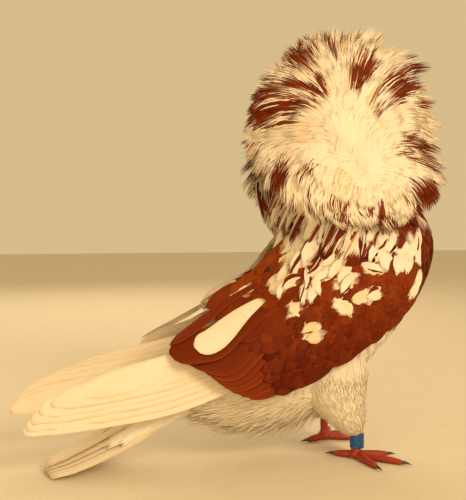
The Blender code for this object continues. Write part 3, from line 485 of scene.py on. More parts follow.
class PigeonSettings(bpy.types.PropertyGroup):
    """Numbers and colours of the plumage"""
    hood_density: FloatProperty(
        name="Hood density", description="Share of the full number of locks in a hood feather",
        default=1.0, min=0.2, max=1.2, subtype="FACTOR",
    )
    body_density: FloatProperty(
        name="Body density", description="Share of the full number of feathers on trunk and neck",
        default=1.0, min=0.2, max=1.2, subtype="FACTOR",
    )
    coverts: IntProperty(
        name="Wing coverts", description="Covert feathers on each wing shield",
        default=2900, min=100, max=5000,
    )
    down_tufts: IntProperty(
        name="Down tufts", description="Soft tufts on thighs, flanks and vent",
        default=8200, min=100, max=12000,
    )
    lock_width: FloatProperty(
        name="Lock width", description="Width of one lock of the hood",
        default=0.0010, min=0.0005, max=0.004, unit="LENGTH",
    )
    white: FloatVectorProperty(
        name="White", description="Colour of the white feathers",
        subtype="COLOR", size=3, min=0.0, max=1.0, default=hex_colour("#F2EADC"),
    )
    red: FloatVectorProperty(
        name="Red", description="Colour of the red feathers",
        subtype="COLOR", size=3, min=0.0, max=1.0, default=hex_colour("#782C06"),
    )
    leg: FloatVectorProperty(
        name="Leg", description="Colour of the bare feet",
        subtype="COLOR", size=3, min=0.0, max=1.0, default=hex_colour("#A02E10"),
    )


# Numbers in arrays


def even(count):
    """Shares from 0 to 1 in even steps."""
    return np.linspace(0.0, 1.0, count)


def unit(vectors):
    """Vectors of length 1 along the given ones."""
    size = np.linalg.norm(vectors, axis=-1, keepdims=True)
    return vectors / np.maximum(size, 1e-9)


def smooth(value, low, high):
    """0 below low, 1 above high and a soft step between."""
    share = np.clip((value - low) / (high - low), 0.0, 1.0)
    return share * share * (3.0 - 2.0 * share)


def curve_at(rows, share):
    """Rows of a smooth curve through the table's rows, share 0 at the first, 1 at the last."""
    table = np.asarray(rows, float)
    last = len(table) - 1
    place = np.clip(share, 0.0, 1.0) * last
    k = np.minimum(place.astype(int), last - 1)
    t = (place - k)[..., None]
    a, b = table[np.maximum(k - 1, 0)], table[k]
    c, d = table[k + 1], table[np.minimum(k + 2, last)]
    return 0.5 * (
        2 * b + (c - a) * t + (2 * a - 5 * b + 4 * c - d) * t ** 2
        + (3 * b - a - 3 * c + d) * t ** 3
    )


def line_at(values, share):
    """Values read at shares 0 to 1 along an even row."""
    return np.interp(share, even(len(values)), values)


def square_to(way):
    """The direction a quarter turn on from a flat one."""
    return np.array((-way[1], way[0]))


def bowed(first, bend, last, t):
    """Points of a curve from first to last, drawn toward bend."""
    return first * (1 - t) ** 2 + bend * 2 * t * (1 - t) + last * t ** 2


def varied(owner, own, single, rng):
    """Random values, one in the range own for each feather plus one in single for each lock."""
    return rng.uniform(*own, owner[-1] + 1)[owner] + rng.uniform(*single, len(owner))


def locks_of(feathers, locks, scatter, rng):
    """The feather that each lock belongs to, and its place from edge to edge of it."""
    owner = np.repeat(np.arange(feathers), locks)
    spread = np.tile(np.linspace(-1.0, 1.0, locks), feathers)
    return owner, spread + rng.normal(0.0, scatter, len(owner))


def even_pairs(count, start):
    """Pairs of numbers that fill the unit square evenly, by steps of the plastic ratio."""
    i = np.arange(start, start + count, dtype=float)
    return (0.5 + i * 0.7548776662466927) % 1.0, (0.5 + i * 0.5698402909980532) % 1.0


# Surfaces: each gives points for two arrays of numbers


def trunk_at(share, turn):
    """Trunk and neck: share 0 at the tail and 1 under the head, turn 0 on the back."""
    row = curve_at(TRUNK, share)
    angle = turn * math.tau
    middle_x, middle_z = (row[..., 0] + row[..., 2]) / 2, (row[..., 1] + row[..., 3]) / 2
    up_x, up_z = (row[..., 0] - row[..., 2]) / 2, (row[..., 1] - row[..., 3]) / 2
    return np.stack([
        middle_x + up_x * np.cos(angle),
        row[..., 4] * np.sin(angle),
        middle_z + up_z * np.cos(angle),
    ], axis=-1)


def rim_out(angle):
    """How far the hood's rim stands out from the middle plane."""
    forward = np.clip((np.cos(angle) + 0.1) / 0.9, 0, 1)
    front = RIM_OUT_BACK + (RIM_OUT_FRONT - RIM_OUT_BACK) * forward
    return front + (RIM_OUT_BELOW - front) * smooth(-np.sin(angle), 0.15, 0.75)


def hood_at(side):
    """Dome of the hood: reach 0 at the whorls and 1 at the rim, turn 0 toward the bill."""
    def surface(reach, turn):
        angle = turn * math.tau
        forward = np.maximum(np.cos(angle), 0.0)
        rim_x = HOOD_MIDDLE[0] + HOOD_HALF[0] * np.cos(angle) - HOOD_FRONT_CUT * forward ** 2
        rim_z = HOOD_MIDDLE[1] + HOOD_HALF[1] * np.sin(angle)
        upper = smooth(np.cos(angle - UPPER_WHORL_ANGLE), -0.6, 0.9)
        whorl_x = LOWER_WHORL[0] + (UPPER_WHORL[0] - LOWER_WHORL[0]) * upper
        whorl_z = LOWER_WHORL[1] + (UPPER_WHORL[1] - LOWER_WHORL[1]) * upper
        sweep = HOOD_SWEEP * np.cos(angle) * (1.0 - np.clip(reach, 0.0, 1.2) ** 1.4)
        spoke_x = (rim_x - whorl_x) * reach
        spoke_z = (rim_z - whorl_z) * reach
        x = whorl_x + spoke_x * np.cos(sweep) - spoke_z * np.sin(sweep)
        z = whorl_z + spoke_x * np.sin(sweep) + spoke_z * np.cos(sweep)
        close = np.clip(reach / HOOD_CLOSE, 0.0, 1.0) ** 1.7
        out = WHORL_OUT + (rim_out(angle) - WHORL_OUT) * close
        return np.stack([x, side * out, z], axis=-1)
    return surface


def wing_at(sections, side, bulge_share=1.0):
    """Wing: share 0 at the front, place 0 at the upper edge and 1 at the lower edge."""
    def surface(share, place):
        row = curve_at(sections, share)
        across = np.asarray(place)[..., None]
        point = row[..., 0:3] * (1 - across) + row[..., 3:6] * across
        rise = row[..., 6:7] * bulge_share * np.sin(math.pi * np.clip(across, 0, 1))
        point = point + np.array(WING_OUTWARD) * rise
        point[..., 1] *= -side
        return point
    return surface


def thigh_at(side, hub):
    """Feathered leg: share 0 in the flank and 1 at the top of the bare shank."""
    rows = (
        (-0.020, side * 0.0200, 0.078, 0.026, 0.0180),
        (-0.018, side * 0.0225, 0.058, 0.025, 0.0180),
        (-0.015, side * 0.0235, 0.042, 0.020, 0.0155),
        (hub[0] - 0.009, hub[1], 0.030, 0.0145, 0.0115),
        (hub[0] - 0.005, hub[1], 0.0215, 0.0090, 0.0080),
        (hub[0] - 0.002, hub[1], SHANK_TOP, 0.0050, 0.0048),
    )

    def surface(share, turn):
        row = curve_at(rows, share)
        angle = turn * math.tau
        return np.stack([
            row[..., 0] + row[..., 3] * np.cos(angle),
            row[..., 1] + row[..., 4] * np.sin(angle),
            row[..., 2],
        ], axis=-1)
    return surface


def head_at(share, turn):
    """Head oval: share 0 at the bill and 1 at the nape."""
    polar = share * math.pi
    angle = turn * math.tau
    x = HEAD_HALF[0] * np.cos(polar)
    y = HEAD_HALF[1] * np.sin(polar) * np.sin(angle)
    z = HEAD_HALF[2] * np.sin(polar) * np.cos(angle)
    cos, sin = math.cos(HEAD_TILT), math.sin(HEAD_TILT)
    return np.stack([
        HEAD_MIDDLE[0] + x * cos + z * sin, y, HEAD_MIDDLE[2] - x * sin + z * cos,
    ], axis=-1)


def relief_at(side):
    """Wing, trunk and neck seen from one side, as y over a grid of x and z."""
    low = np.array(RELIEF_LOW)
    grid = np.zeros(RELIEF_CELLS)
    row = even(RELIEF_SAMPLES)
    u, v = np.meshgrid(row, row)
    for surface in (wing_at(WING + INNER_FLIGHT[1:], side), trunk_at):
        points = surface(u, v).reshape(-1, 3)
        points = points[points[:, 1] * side > 0]
        cell = ((points[:, [0, 2]] - low) / RELIEF_CELL).round().astype(int)
        np.maximum.at(grid, (cell[:, 0], cell[:, 1]), points[:, 1] * side)
    for _ in range(3):
        grid = (grid + np.roll(grid, 1, 0) + np.roll(grid, -1, 0)
                + np.roll(grid, 1, 1) + np.roll(grid, -1, 1)) / 5

    def surface(x, z):
        place = (np.stack([x, z], axis=-1) - low) / RELIEF_CELL
        cell = np.clip(place.astype(int), 0, np.array(grid.shape) - 2)
        i, k = cell[..., 0], cell[..., 1]
        a, b = np.clip(place[..., 0] - i, 0, 1), np.clip(place[..., 1] - k, 0, 1)
        y = (grid[i, k] * (1 - a) + grid[i + 1, k] * a) * (1 - b)
        y = y + (grid[i, k + 1] * (1 - a) + grid[i + 1, k + 1] * a) * b
        return np.stack([x, side * y, z], axis=-1)
    return surface


def frame_at(surface, u, v, inside):
    """Points of the surface, their outward direction, and metres run per unit of u and v."""
    point = surface(u, v)
    step = SLOPE_STEP
    along_u = (surface(u + step, v) - surface(u - step, v)) / (2 * step)
    along_v = (surface(u, v + step) - surface(u, v - step)) / (2 * step)
    up = unit(np.cross(along_u, along_v))
    flip = np.sign(np.sum(up * (point - inside(point)), axis=-1, keepdims=True))
    speed_u, speed_v = np.linalg.norm(along_u, axis=-1), np.linalg.norm(along_v, axis=-1)
    return point, up * np.where(flip == 0, 1, flip), speed_u, speed_v


def trunk_inside(point):
    """For points of trunk and neck, points inside that they face away from."""
    inner = point.copy()
    inner[..., 1] = 0.0
    inner[..., 0] = (point[..., 2] - 0.11) * 0.25 - 0.002
    inner[..., 2] = point[..., 2] * 0.35 + 0.065
    return inner


def flat_inside(side):
    """The same for what faces out to one side."""
    def inside(point):
        inner = point.copy()
        inner[..., 1] = point[..., 1] - side * 0.05
        return inner
    return inside


def spot_inside(spot):
    """The same for what faces away from one spot."""
    def inside(point):
        return np.broadcast_to(np.asarray(spot, float), point.shape)
    return inside


def ring_on(surface, inside, share, count, lift):
    """A closed ring of points round a surface, at one share and raised by lift."""
    point, up, _, _ = frame_at(surface, np.full(count, share), np.arange(count) / count, inside)
    return point + up * lift


# Markings, the same on skin and on feathers


def blobs(points, table):
    """How deep points lie in the table's tilted ovals, 1 in a middle and 0 outside."""
    depth = np.zeros(points.shape[:-1])
    for x, z, half_length, half_width, tilt in table:
        cos, sin = math.cos(math.radians(tilt)), math.sin(math.radians(tilt))
        dx, dz = points[..., 0] - x, points[..., 2] - z
        along = (dx * cos + dz * sin) / half_length
        across = (dz * cos - dx * sin) / half_width
        depth = np.maximum(depth, 1.0 - (along ** 2 + across ** 2) * 0.5)
    return np.clip(depth, 0.0, 1.0)


def left_varied(points):
    """The same points, with those of the left side moved a little, so that sides differ."""
    moved = points.copy()
    left = smooth(points[..., 1], -0.012, 0.012)
    moved[..., 0] += LEFT_SHIFT[0] * left
    moved[..., 2] += LEFT_SHIFT[1] * left
    return moved


def fleck_share(points, waver):
    """Share of white fleck on wing and mantle."""
    return smooth(blobs(left_varied(points), WHITE_FLECKS) + waver * 0.16, 0.42, 0.58)


def wing_red(points, waver):
    """Share of red on the wing shields: red, with white flecks, and white behind on the left."""
    left = smooth(points[..., 1], -0.005, 0.005)
    behind = left * smooth(WHITE_BEHIND - points[..., 0] + waver * 0.002, -0.001, 0.001)
    return (1.0 - fleck_share(points, waver)) * (1.0 - behind)


def body_red(points, waver):
    """Share of red on trunk and neck: red above a line, white flecks, and a streaked neck."""
    line = RED_LINE + 0.10 * np.minimum(points[..., 0] + 0.085, 0.0)
    red = smooth(points[..., 2] - line + waver * 0.004, -0.002, 0.002)
    red = red * (1.0 - fleck_share(points, waver))
    neck = smooth(points[..., 2], *NECK_STREAKS)
    streak = smooth(waver, -0.10, 0.10)
    return red * (1.0 - neck) + smooth(points[..., 2], 0.14, 0.15) * neck * streak


def hood_red(points, waver):
    """Share of red on the hood: patches that break up along single locks."""
    depth = blobs(left_varied(points), RED_PATCHES)
    x = (points[..., 0] - HOOD_MIDDLE[0]) / HOOD_HALF[0]
    z = (points[..., 2] - HOOD_MIDDLE[1]) / HOOD_HALF[1]
    rim = smooth(np.sqrt(x * x + z * z), 0.66, 0.95)
    back = smooth(-x, 0.10, 0.70) * smooth(z, -0.45, 0.0)
    low = smooth(0.180 - points[..., 2], 0.0, 0.016)
    top = smooth(z, 0.35, 0.8)
    depth = depth + rim * (0.27 + 0.10 * back + 0.12 * top) + 0.26 * low
    return smooth(depth + waver * 0.85 * smooth(depth, 0.0, 0.25), 0.48, 0.66)


def mane_red(points, waver):
    """The mane is streaked red and white, lock by lock."""
    return smooth(waver, 0.30, 0.48)


def fleck_red(points, waver):
    """A few locks of the white fleck feathers are red."""
    return smooth(waver, 0.62, 0.80)


def no_red(points, waver):
    """For feathers that are white all over."""
    return np.zeros(points.shape[:-1])


def lock_points(paths):
    """Points that stand for a lock's colour, so that red runs on along it in streaks."""
    outer = paths[:, paths.shape[1] // 2:].mean(axis=1, keepdims=True)
    return paths * 0.45 + outer * 0.55


# Meshes from rings of points


def placed(name, data):
    """An object of the scene that shows the data, at the origin."""
    made = bpy.data.objects.new(name, data)
    bpy.context.scene.collection.objects.link(made)
    return made


def add_layers(mesh, mark, lie):
    """Give each point its mark, which the materials colour by, and its lie on the feather."""
    for label, values in (("mark", mark), ("lie", lie)):
        layer = mesh.attributes.new(label, "FLOAT_VECTOR", "POINT")
        layer.data.foreach_set("vector", values.astype(np.float32).ravel())


def ring_mesh(name, rings, mark, lie, spots, finish, rims):
    """One joined mesh of closed tubes.

    rings is (tubes, rings, points, 3), mark and lie are (tubes, rings, points, 3), spots is
    (tubes, 2), the place of each tube's root on the unwrapped skin, and rims are the numbers
    of the points in a ring that run along the thin edges of the vane.
    """
    tubes, steps, sides = rings.shape[:3]
    count = tubes * steps * sides
    index = np.arange(count).reshape(tubes, steps, sides)
    near, far = index[:, :-1], index[:, 1:]
    quads = np.stack([
        near, np.roll(near, -1, axis=2), np.roll(far, -1, axis=2), far,
    ], axis=-1).reshape(-1, 4)
    starts = index[:, 0, ::-1].reshape(-1, sides)
    ends = index[:, -1].reshape(-1, sides)
    loops = np.concatenate([quads.ravel(), starts.ravel(), ends.ravel()]).astype(np.int32)
    sizes = np.concatenate([
        np.full(len(quads), 4), np.full(len(starts), sides), np.full(len(ends), sides),
    ])
    points = rings.reshape(-1, 3) + np.array(PLACE)
    mesh = bpy.data.meshes.new(name)
    mesh.vertices.add(count)
    mesh.vertices.foreach_set("co", points.astype(np.float32).ravel())
    mesh.loops.add(len(loops))
    mesh.loops.foreach_set("vertex_index", loops)
    mesh.polygons.add(len(sizes))
    mesh.polygons.foreach_set("loop_start", (np.cumsum(sizes) - sizes).astype(np.int32))
    mesh.update(calc_edges=True)
    mesh.polygons.foreach_set("use_smooth", np.ones(len(sizes), bool))
    # The thin edges are sharp, so that light doesn't roll round them
    pairs = np.empty(len(mesh.edges) * 2, np.int32)
    mesh.edges.foreach_get("vertices", pairs)
    corners = pairs.reshape(-1, 2) % sides
    sharp = (corners[:, 0] == corners[:, 1]) & np.isin(corners[:, 0], rims)
    mesh.attributes.new("sharp_edge", "BOOLEAN", "EDGE").data.foreach_set("value", sharp)
    add_layers(mesh, mark, lie)
    across = np.cos(np.arange(sides) / (sides - 1) * math.pi) * PATCH_HALF_WIDTH
    along = (even(steps) - 0.5) * PATCH_LENGTH
    patch = np.empty((tubes, steps, sides, 2))
    patch[..., 0] = spots[:, None, None, 0] + across[None, None, :]
    patch[..., 1] = spots[:, None, None, 1] + along[None, :, None]
    unwrap = mesh.uv_layers.new(name="OFBake")
    unwrap.data.foreach_set("uv", patch.reshape(-1, 2)[loops].astype(np.float32).ravel())
    mesh.validate()
    mesh.materials.append(finish)
    return placed(name, mesh)


def plume_rings(paths, ups, widths, heights, section):
    """Rings round feather paths, in the shape of the cross section."""
    along = np.gradient(paths, axis=1)
    across = unit(np.cross(along, ups))
    raised = unit(np.cross(across, along))
    rings = []
    for out, rise in section:
        rings.append(
            paths + across * (widths * out / 2)[..., None] + raised * (heights * rise)[..., None]
        )
    return np.stack(rings, axis=2)


def grow(surface, inside, u, v, length, drift, lifts, sign, steps):
    """Paths from (u, v) along u, with lifts above the surface, and the outward direction."""
    shares = even(steps)
    _, _, speed_u, speed_v = frame_at(surface, u, v, inside)
    # The least speeds keep a step finite where the surface closes to a point
    run = length / np.maximum(speed_u, 1e-5)
    side_run = drift * length / np.maximum(speed_v, 1e-3)
    us = u[:, None] + sign * run[:, None] * shares
    vs = v[:, None] + side_run[:, None] * shares ** 1.5
    points, ups, _, _ = frame_at(surface, us, vs, inside)
    return points + ups * lifts[..., None], ups


def sown(surface, inside, count, u_range, start):
    """Evenly sown places on a surface, as (u, v), by its area."""
    u, v = even_pairs(int(count * SOWN_SURPLUS), start)
    u = u_range[0] + (u_range[1] - u_range[0]) * u
    _, _, speed_u, speed_v = frame_at(surface, u, v, inside)
    area = speed_u * speed_v
    chance = np.random.default_rng(SEED + start).random(len(u))
    kept = np.flatnonzero(chance < area / area.max())[:count]
    return u[kept], v[kept]


def feather_layers(paths, widths, outs, red_share, tone, tip, shift):
    """Mark: share of red, tone, share of the length. Lie: across, along and pattern shift."""
    shares = even(paths.shape[1])
    lengths = np.linalg.norm(np.diff(paths, axis=1), axis=-1).sum(axis=1)
    mark = np.zeros((*paths.shape[:2], len(outs), 3))
    mark[..., 0] = red_share[:, :, None]
    mark[..., 1] = tone
    mark[..., 2] = tip
    lie = np.zeros(mark.shape)
    lie[..., 0] = widths[..., None] * outs / 2
    lie[..., 1] = (lengths[:, None] * shares)[:, :, None]
    lie[..., 2] = shift
    return mark, lie


def coat(
    name, paths, ups, widths, heights, red, spots, seed, tone, waver=None, sides=3, shown=None,
):
    """Joined feathers along paths. red gives the share of red for points and a waver."""
    tubes, steps = paths.shape[:2]
    section = CROSS_SECTIONS[sides]
    outs = np.array(section)[:, 0]
    if waver is None:
        waver = np.random.default_rng(seed).uniform(-1.0, 1.0, tubes)
    seen = paths if shown is None else shown
    red_share = red(seen, np.broadcast_to(waver[:, None], seen.shape[:2]))
    tone = tone[:, None, None]
    tip = even(steps)[:, None]
    mark, lie = feather_layers(paths, widths, outs, red_share, tone, tip, tone * PATTERN_SHIFT)
    rings = plume_rings(paths, ups, widths, heights, section)
    rims = np.flatnonzero(np.abs(outs) == 1.0)
    piece = ring_mesh(name, rings, mark, lie, spots, soft_finish(), rims)
    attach(piece, BODY)
    return piece


# Materials


def node(tree, kind, values=None, links=None, stops=(), **settings):
    """Add a node, set its fields, colour stops and socket values, and link sockets into it."""
    made = tree.nodes.new(kind)
    for field, value in settings.items():
        setattr(made, field, value)
    for number, (position, colour) in enumerate(stops):
        if number >= 2:
            made.color_ramp.elements.new(position)
        made.color_ramp.elements[number].position = position
        made.color_ramp.elements[number].color = (*colour, 1.0)
    for socket, value in (values or {}).items():
        made.inputs[socket].default_value = value
    for socket, source in (links or {}).items():
        tree.links.new(source, made.inputs[socket])
    return made


def new_finish(name):
    """A material with its node tree and its shader."""
    finish = bpy.data.materials.new(name)
    finish.use_nodes = True
    tree = finish.node_tree
    return finish, tree, tree.nodes["Principled BSDF"]


def tinted(colour, shares):
    """The colour with each channel cut down or raised to a share of it."""
    return tuple(channel * share for channel, share in zip(colour, shares))


def feather_colour(tree, red_share, tone, tip, across, along, seed):
    """White or red by the feather's tone, in fine streaks and a little darker at the root."""
    settings = bpy.context.scene.pigeon
    # White barbs are cream in the light and turn ochre at high tone, which is a painted shade
    white = node(tree, "ShaderNodeValToRGB", links={0: tone}, stops=(
        (0.0, tuple(settings.white)),
        (0.55, tinted(settings.white, (0.98, 0.94, 0.86))),
        (0.85, tinted(settings.white, (0.92, 0.80, 0.58))),
        (1.0, tinted(settings.white, (0.78, 0.58, 0.32))),
    ))
    # Red feathers go from maroon, a painted shade, to rust, where they are worn pale
    red = node(tree, "ShaderNodeValToRGB", links={0: tone}, stops=(
        (0.0, tinted(settings.red, (0.45, 0.25, 0.25))),
        (0.5, tuple(settings.red)),
        (1.0, tinted(settings.red, (1.60, 2.30, 1.9))),
    ))
    base = node(
        tree, "ShaderNodeMix", links={0: red_share, 6: white.outputs[0], 7: red.outputs[0]},
        data_type="RGBA",
    )
    # Barbs darken the vane in fine streaks that run along it, and the root lies in shade
    shift = node(tree, "ShaderNodeMath", links={0: across, 1: seed}, operation="ADD")
    stretch = node(tree, "ShaderNodeMath", {1: 0.12}, {0: along}, operation="MULTIPLY")
    lines = node(tree, "ShaderNodeCombineXYZ", links={
        0: shift.outputs[0], 1: stretch.outputs[0], 2: seed,
    })
    streak = node(
        tree, "ShaderNodeTexNoise", {"Scale": 900.0, "Detail": 1.0}, {"Vector": lines.outputs[0]},
    )
    shade = node(
        tree, "ShaderNodeMapRange", {"To Min": 0.88, "To Max": 1.08}, {0: streak.outputs[0]},
    )
    root = node(tree, "ShaderNodeMapRange", {"To Min": 0.86, "To Max": 1.0}, {0: tip})
    dim = node(
        tree, "ShaderNodeMath", links={0: shade.outputs[0], 1: root.outputs[0]}, operation="MULTIPLY",
    )
    shaded = node(
        tree, "ShaderNodeMix", {0: 1.0}, {6: base.outputs[2], 7: dim.outputs[0]},
        data_type="RGBA", blend_type="MULTIPLY",
    )
    return shaded.outputs[2]


def barb_relief(tree, across, along, seed, spacing, strength):
    """Each barb is a low ridge, slanting toward the tip on both sides of the shaft."""
    half = node(tree, "ShaderNodeMath", links={0: across}, operation="ABSOLUTE")
    slope = node(tree, "ShaderNodeMath", {1: -1.6}, {0: half.outputs[0]}, operation="MULTIPLY")
    slant = node(tree, "ShaderNodeMath", links={0: along, 1: slope.outputs[0]}, operation="ADD")
    start = node(tree, "ShaderNodeMath", links={0: slant.outputs[0], 1: seed}, operation="ADD")
    phase = node(
        tree, "ShaderNodeMath", {1: math.tau / spacing}, {0: start.outputs[0]},
        operation="MULTIPLY",
    )
    wave = node(tree, "ShaderNodeMath", links={0: phase.outputs[0]}, operation="SINE")
    bump = node(
        tree, "ShaderNodeBump", {"Strength": strength, "Distance": 0.0002},
        {"Height": wave.outputs[0]},
    )
    return bump.outputs[0]


def feather_finish(name, barb_spacing, barb_strength):
    """Keratin feather, dull with a faint silk sheen and fine barbs slanting off the shaft."""
    found = bpy.data.materials.get(name)
    if found:
        return found
    finish, tree, shader = new_finish(name)
    mark = node(tree, "ShaderNodeAttribute", attribute_name="mark")
    lie = node(tree, "ShaderNodeAttribute", attribute_name="lie")
    marks = node(tree, "ShaderNodeSeparateXYZ", links={0: mark.outputs["Vector"]})
    place = node(tree, "ShaderNodeSeparateXYZ", links={0: lie.outputs["Vector"]})
    across, along, seed = place.outputs
    colour = feather_colour(tree, *marks.outputs, across, along, seed)
    relief = barb_relief(tree, across, along, seed, barb_spacing, barb_strength)
    tree.links.new(colour, shader.inputs["Base Color"])
    tree.links.new(relief, shader.inputs["Normal"])
    shader.inputs["Roughness"].default_value = 0.65
    shader.inputs["Specular IOR Level"].default_value = 0.10
    shader.inputs["Sheen Weight"].default_value = 0.02
    shader.inputs["Sheen Roughness"].default_value = 0.45
    return finish


def soft_finish():
    """Hood and body feathers have loose barbs, so their lines are fine and shallow."""
    return feather_finish("loose_feather", 0.0012, 0.10)


def flight_finish():
    """Flight feathers have zipped barbs about 0.5 mm apart, drawn at 1.6 mm so that they show."""
    return feather_finish("flight_feather", 0.0016, 0.22)


# Skin and other pieces from rings


def bridge_rings(bm, rings):
    """Bridge rings of points into a closed tube inside bm."""
    loops = []
    for ring in rings:
        verts = [bm.verts.new(tuple(point)) for point in ring]
        edges = [bm.edges.new((a, b)) for a, b in zip(verts, verts[1:] + verts[:1])]
        loops.append(edges)
    for near, far in zip(loops, loops[1:]):
        bmesh.ops.bridge_loops(bm, edges=near + far)
    for edges in (loops[0], loops[-1]):
        bmesh.ops.contextual_create(bm, geom=edges)


def apply_modifiers(piece):
    """Give a piece the mesh that its modifiers make of it."""
    bpy.context.view_layer.update()
    graph = bpy.context.evaluated_depsgraph_get()
    mesh = bpy.data.meshes.new_from_object(piece.evaluated_get(graph), depsgraph=graph)
    old = piece.data
    piece.modifiers.clear()
    piece.data = mesh
    mesh.name = piece.name
    bpy.data.meshes.remove(old)


def mesh_piece(name, bm, finish):
    """Write a bmesh of the floor plan to a smooth piece at its place."""
    bmesh.ops.recalc_face_normals(bm, faces=bm.faces)
    bmesh.ops.translate(bm, vec=PLACE, verts=bm.verts)
    mesh = bpy.data.meshes.new(name)
    bm.to_mesh(mesh)
    bm.free()
    mesh.polygons.foreach_set("use_smooth", [True] * len(mesh.polygons))
    mesh.materials.append(finish)
    return placed(name, mesh)


def add_skin():
    """One closed skin over trunk, neck, head and thighs, under the feathers."""
    bm = bmesh.new()
    bridge_rings(bm, [
        ring_on(trunk_at, trunk_inside, share, TRUNK_RING, -SKIN_DEPTH)
        for share in even(TRUNK_ROWS)
    ])
    for label, side in SIDES:
        surface = thigh_at(side, HUBS[label])
        rows = []
        for share in even(THIGH_ROWS):
            point = surface(np.full(THIGH_RING, share), np.arange(THIGH_RING) / THIGH_RING)
            rows.append(point - unit(point - point.mean(axis=0)) * THIGH_SKIN_DEPTH)
        bridge_rings(bm, rows)
    head = bmesh.ops.create_uvsphere(bm, u_segments=32, v_segments=20, radius=1.0)["verts"]
    bmesh.ops.scale(bm, vec=[half - HEAD_SKIN_DEPTH for half in HEAD_HALF], verts=head)
    bmesh.ops.rotate(bm, verts=head, matrix=Matrix.Rotation(HEAD_TILT, 3, "Y"))
    bmesh.ops.translate(bm, vec=HEAD_MIDDLE, verts=head)
    skin = mesh_piece("skin", bm, soft_finish())
    remesh = skin.modifiers.new("one_skin", "REMESH")
    remesh.mode = "VOXEL"
    remesh.voxel_size = SKIN_VOXEL
    relax = skin.modifiers.new("relax", "SMOOTH")
    relax.iterations = SKIN_RELAX
    apply_modifiers(skin)
    mesh = skin.data
    mesh.materials.clear()
    mesh.materials.append(soft_finish())
    mesh.polygons.foreach_set("use_smooth", [True] * len(mesh.polygons))
    points = points_of(mesh)
    # Under the streaked neck feathers the skin is red below and white toward the face; the red below
    # is the red of the locks there, and also a painted shade in the gaps between them
    below = np.where(points[:, 2] < THROAT_LOW, 1.0, -1.0)
    mark_skin(mesh, points, body_red, smooth(points[:, 2], *NECK_STREAKS) * below)
    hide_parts("torso", "neck", "head", "thigh_left", "thigh_right")
    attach(skin, BODY)


def points_of(mesh):
    """The points of a mesh, back on the floor plan."""
    points = np.empty(len(mesh.vertices) * 3)
    mesh.vertices.foreach_get("co", points)
    return points.reshape(-1, 3) - np.array(PLACE)


def marked_core(name, bm, red, replaced):
    """A smooth under layer that carries the same markings as the feathers on it."""
    core = mesh_piece(name, bm, soft_finish())
    points = points_of(core.data)
    mark_skin(core.data, points, red, np.zeros(len(points)))
    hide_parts(*replaced)
    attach(core, BODY)


def mark_skin(mesh, points, red, waver):
    """Colour a skin as a feather lying there would be."""
    mark = np.zeros(points.shape)
    mark[:, 0] = red(points, waver)
    mark[:, 1:] = SKIN_TONE, SKIN_TIP
    add_layers(mesh, mark, points * SKIN_PATTERN)


# Hood, mane and flecks


def lining_depth(reach):
    """How far the lining lies behind the dome: more round the whorls, where the neck is."""
    return LINING_DEPTH + LINING_THICKENING * (1.0 - np.clip(reach, 0.0, 1.0))


def add_hood_shell(label, side):
    """A closed shell under the hood's feathers, with the markings of the hood."""
    surface, inside = hood_at(side), flat_inside(side)
    outer = [(reach, -HOOD_SHELL_DEPTH) for reach in HOOD_SHELL_REACHES]
    inner = [(reach, HOOD_SHELL_GAP - lining_depth(reach)) for reach in HOOD_SHELL_REACHES[::-1]]
    shell = bmesh.new()
    bridge_rings(shell, [
        ring_on(surface, inside, reach, HOOD_SHELL_RING, lift) for reach, lift in outer + inner
    ])
    marked_core("hood_skin_" + label, shell, hood_red, ("ruff_" + label,))


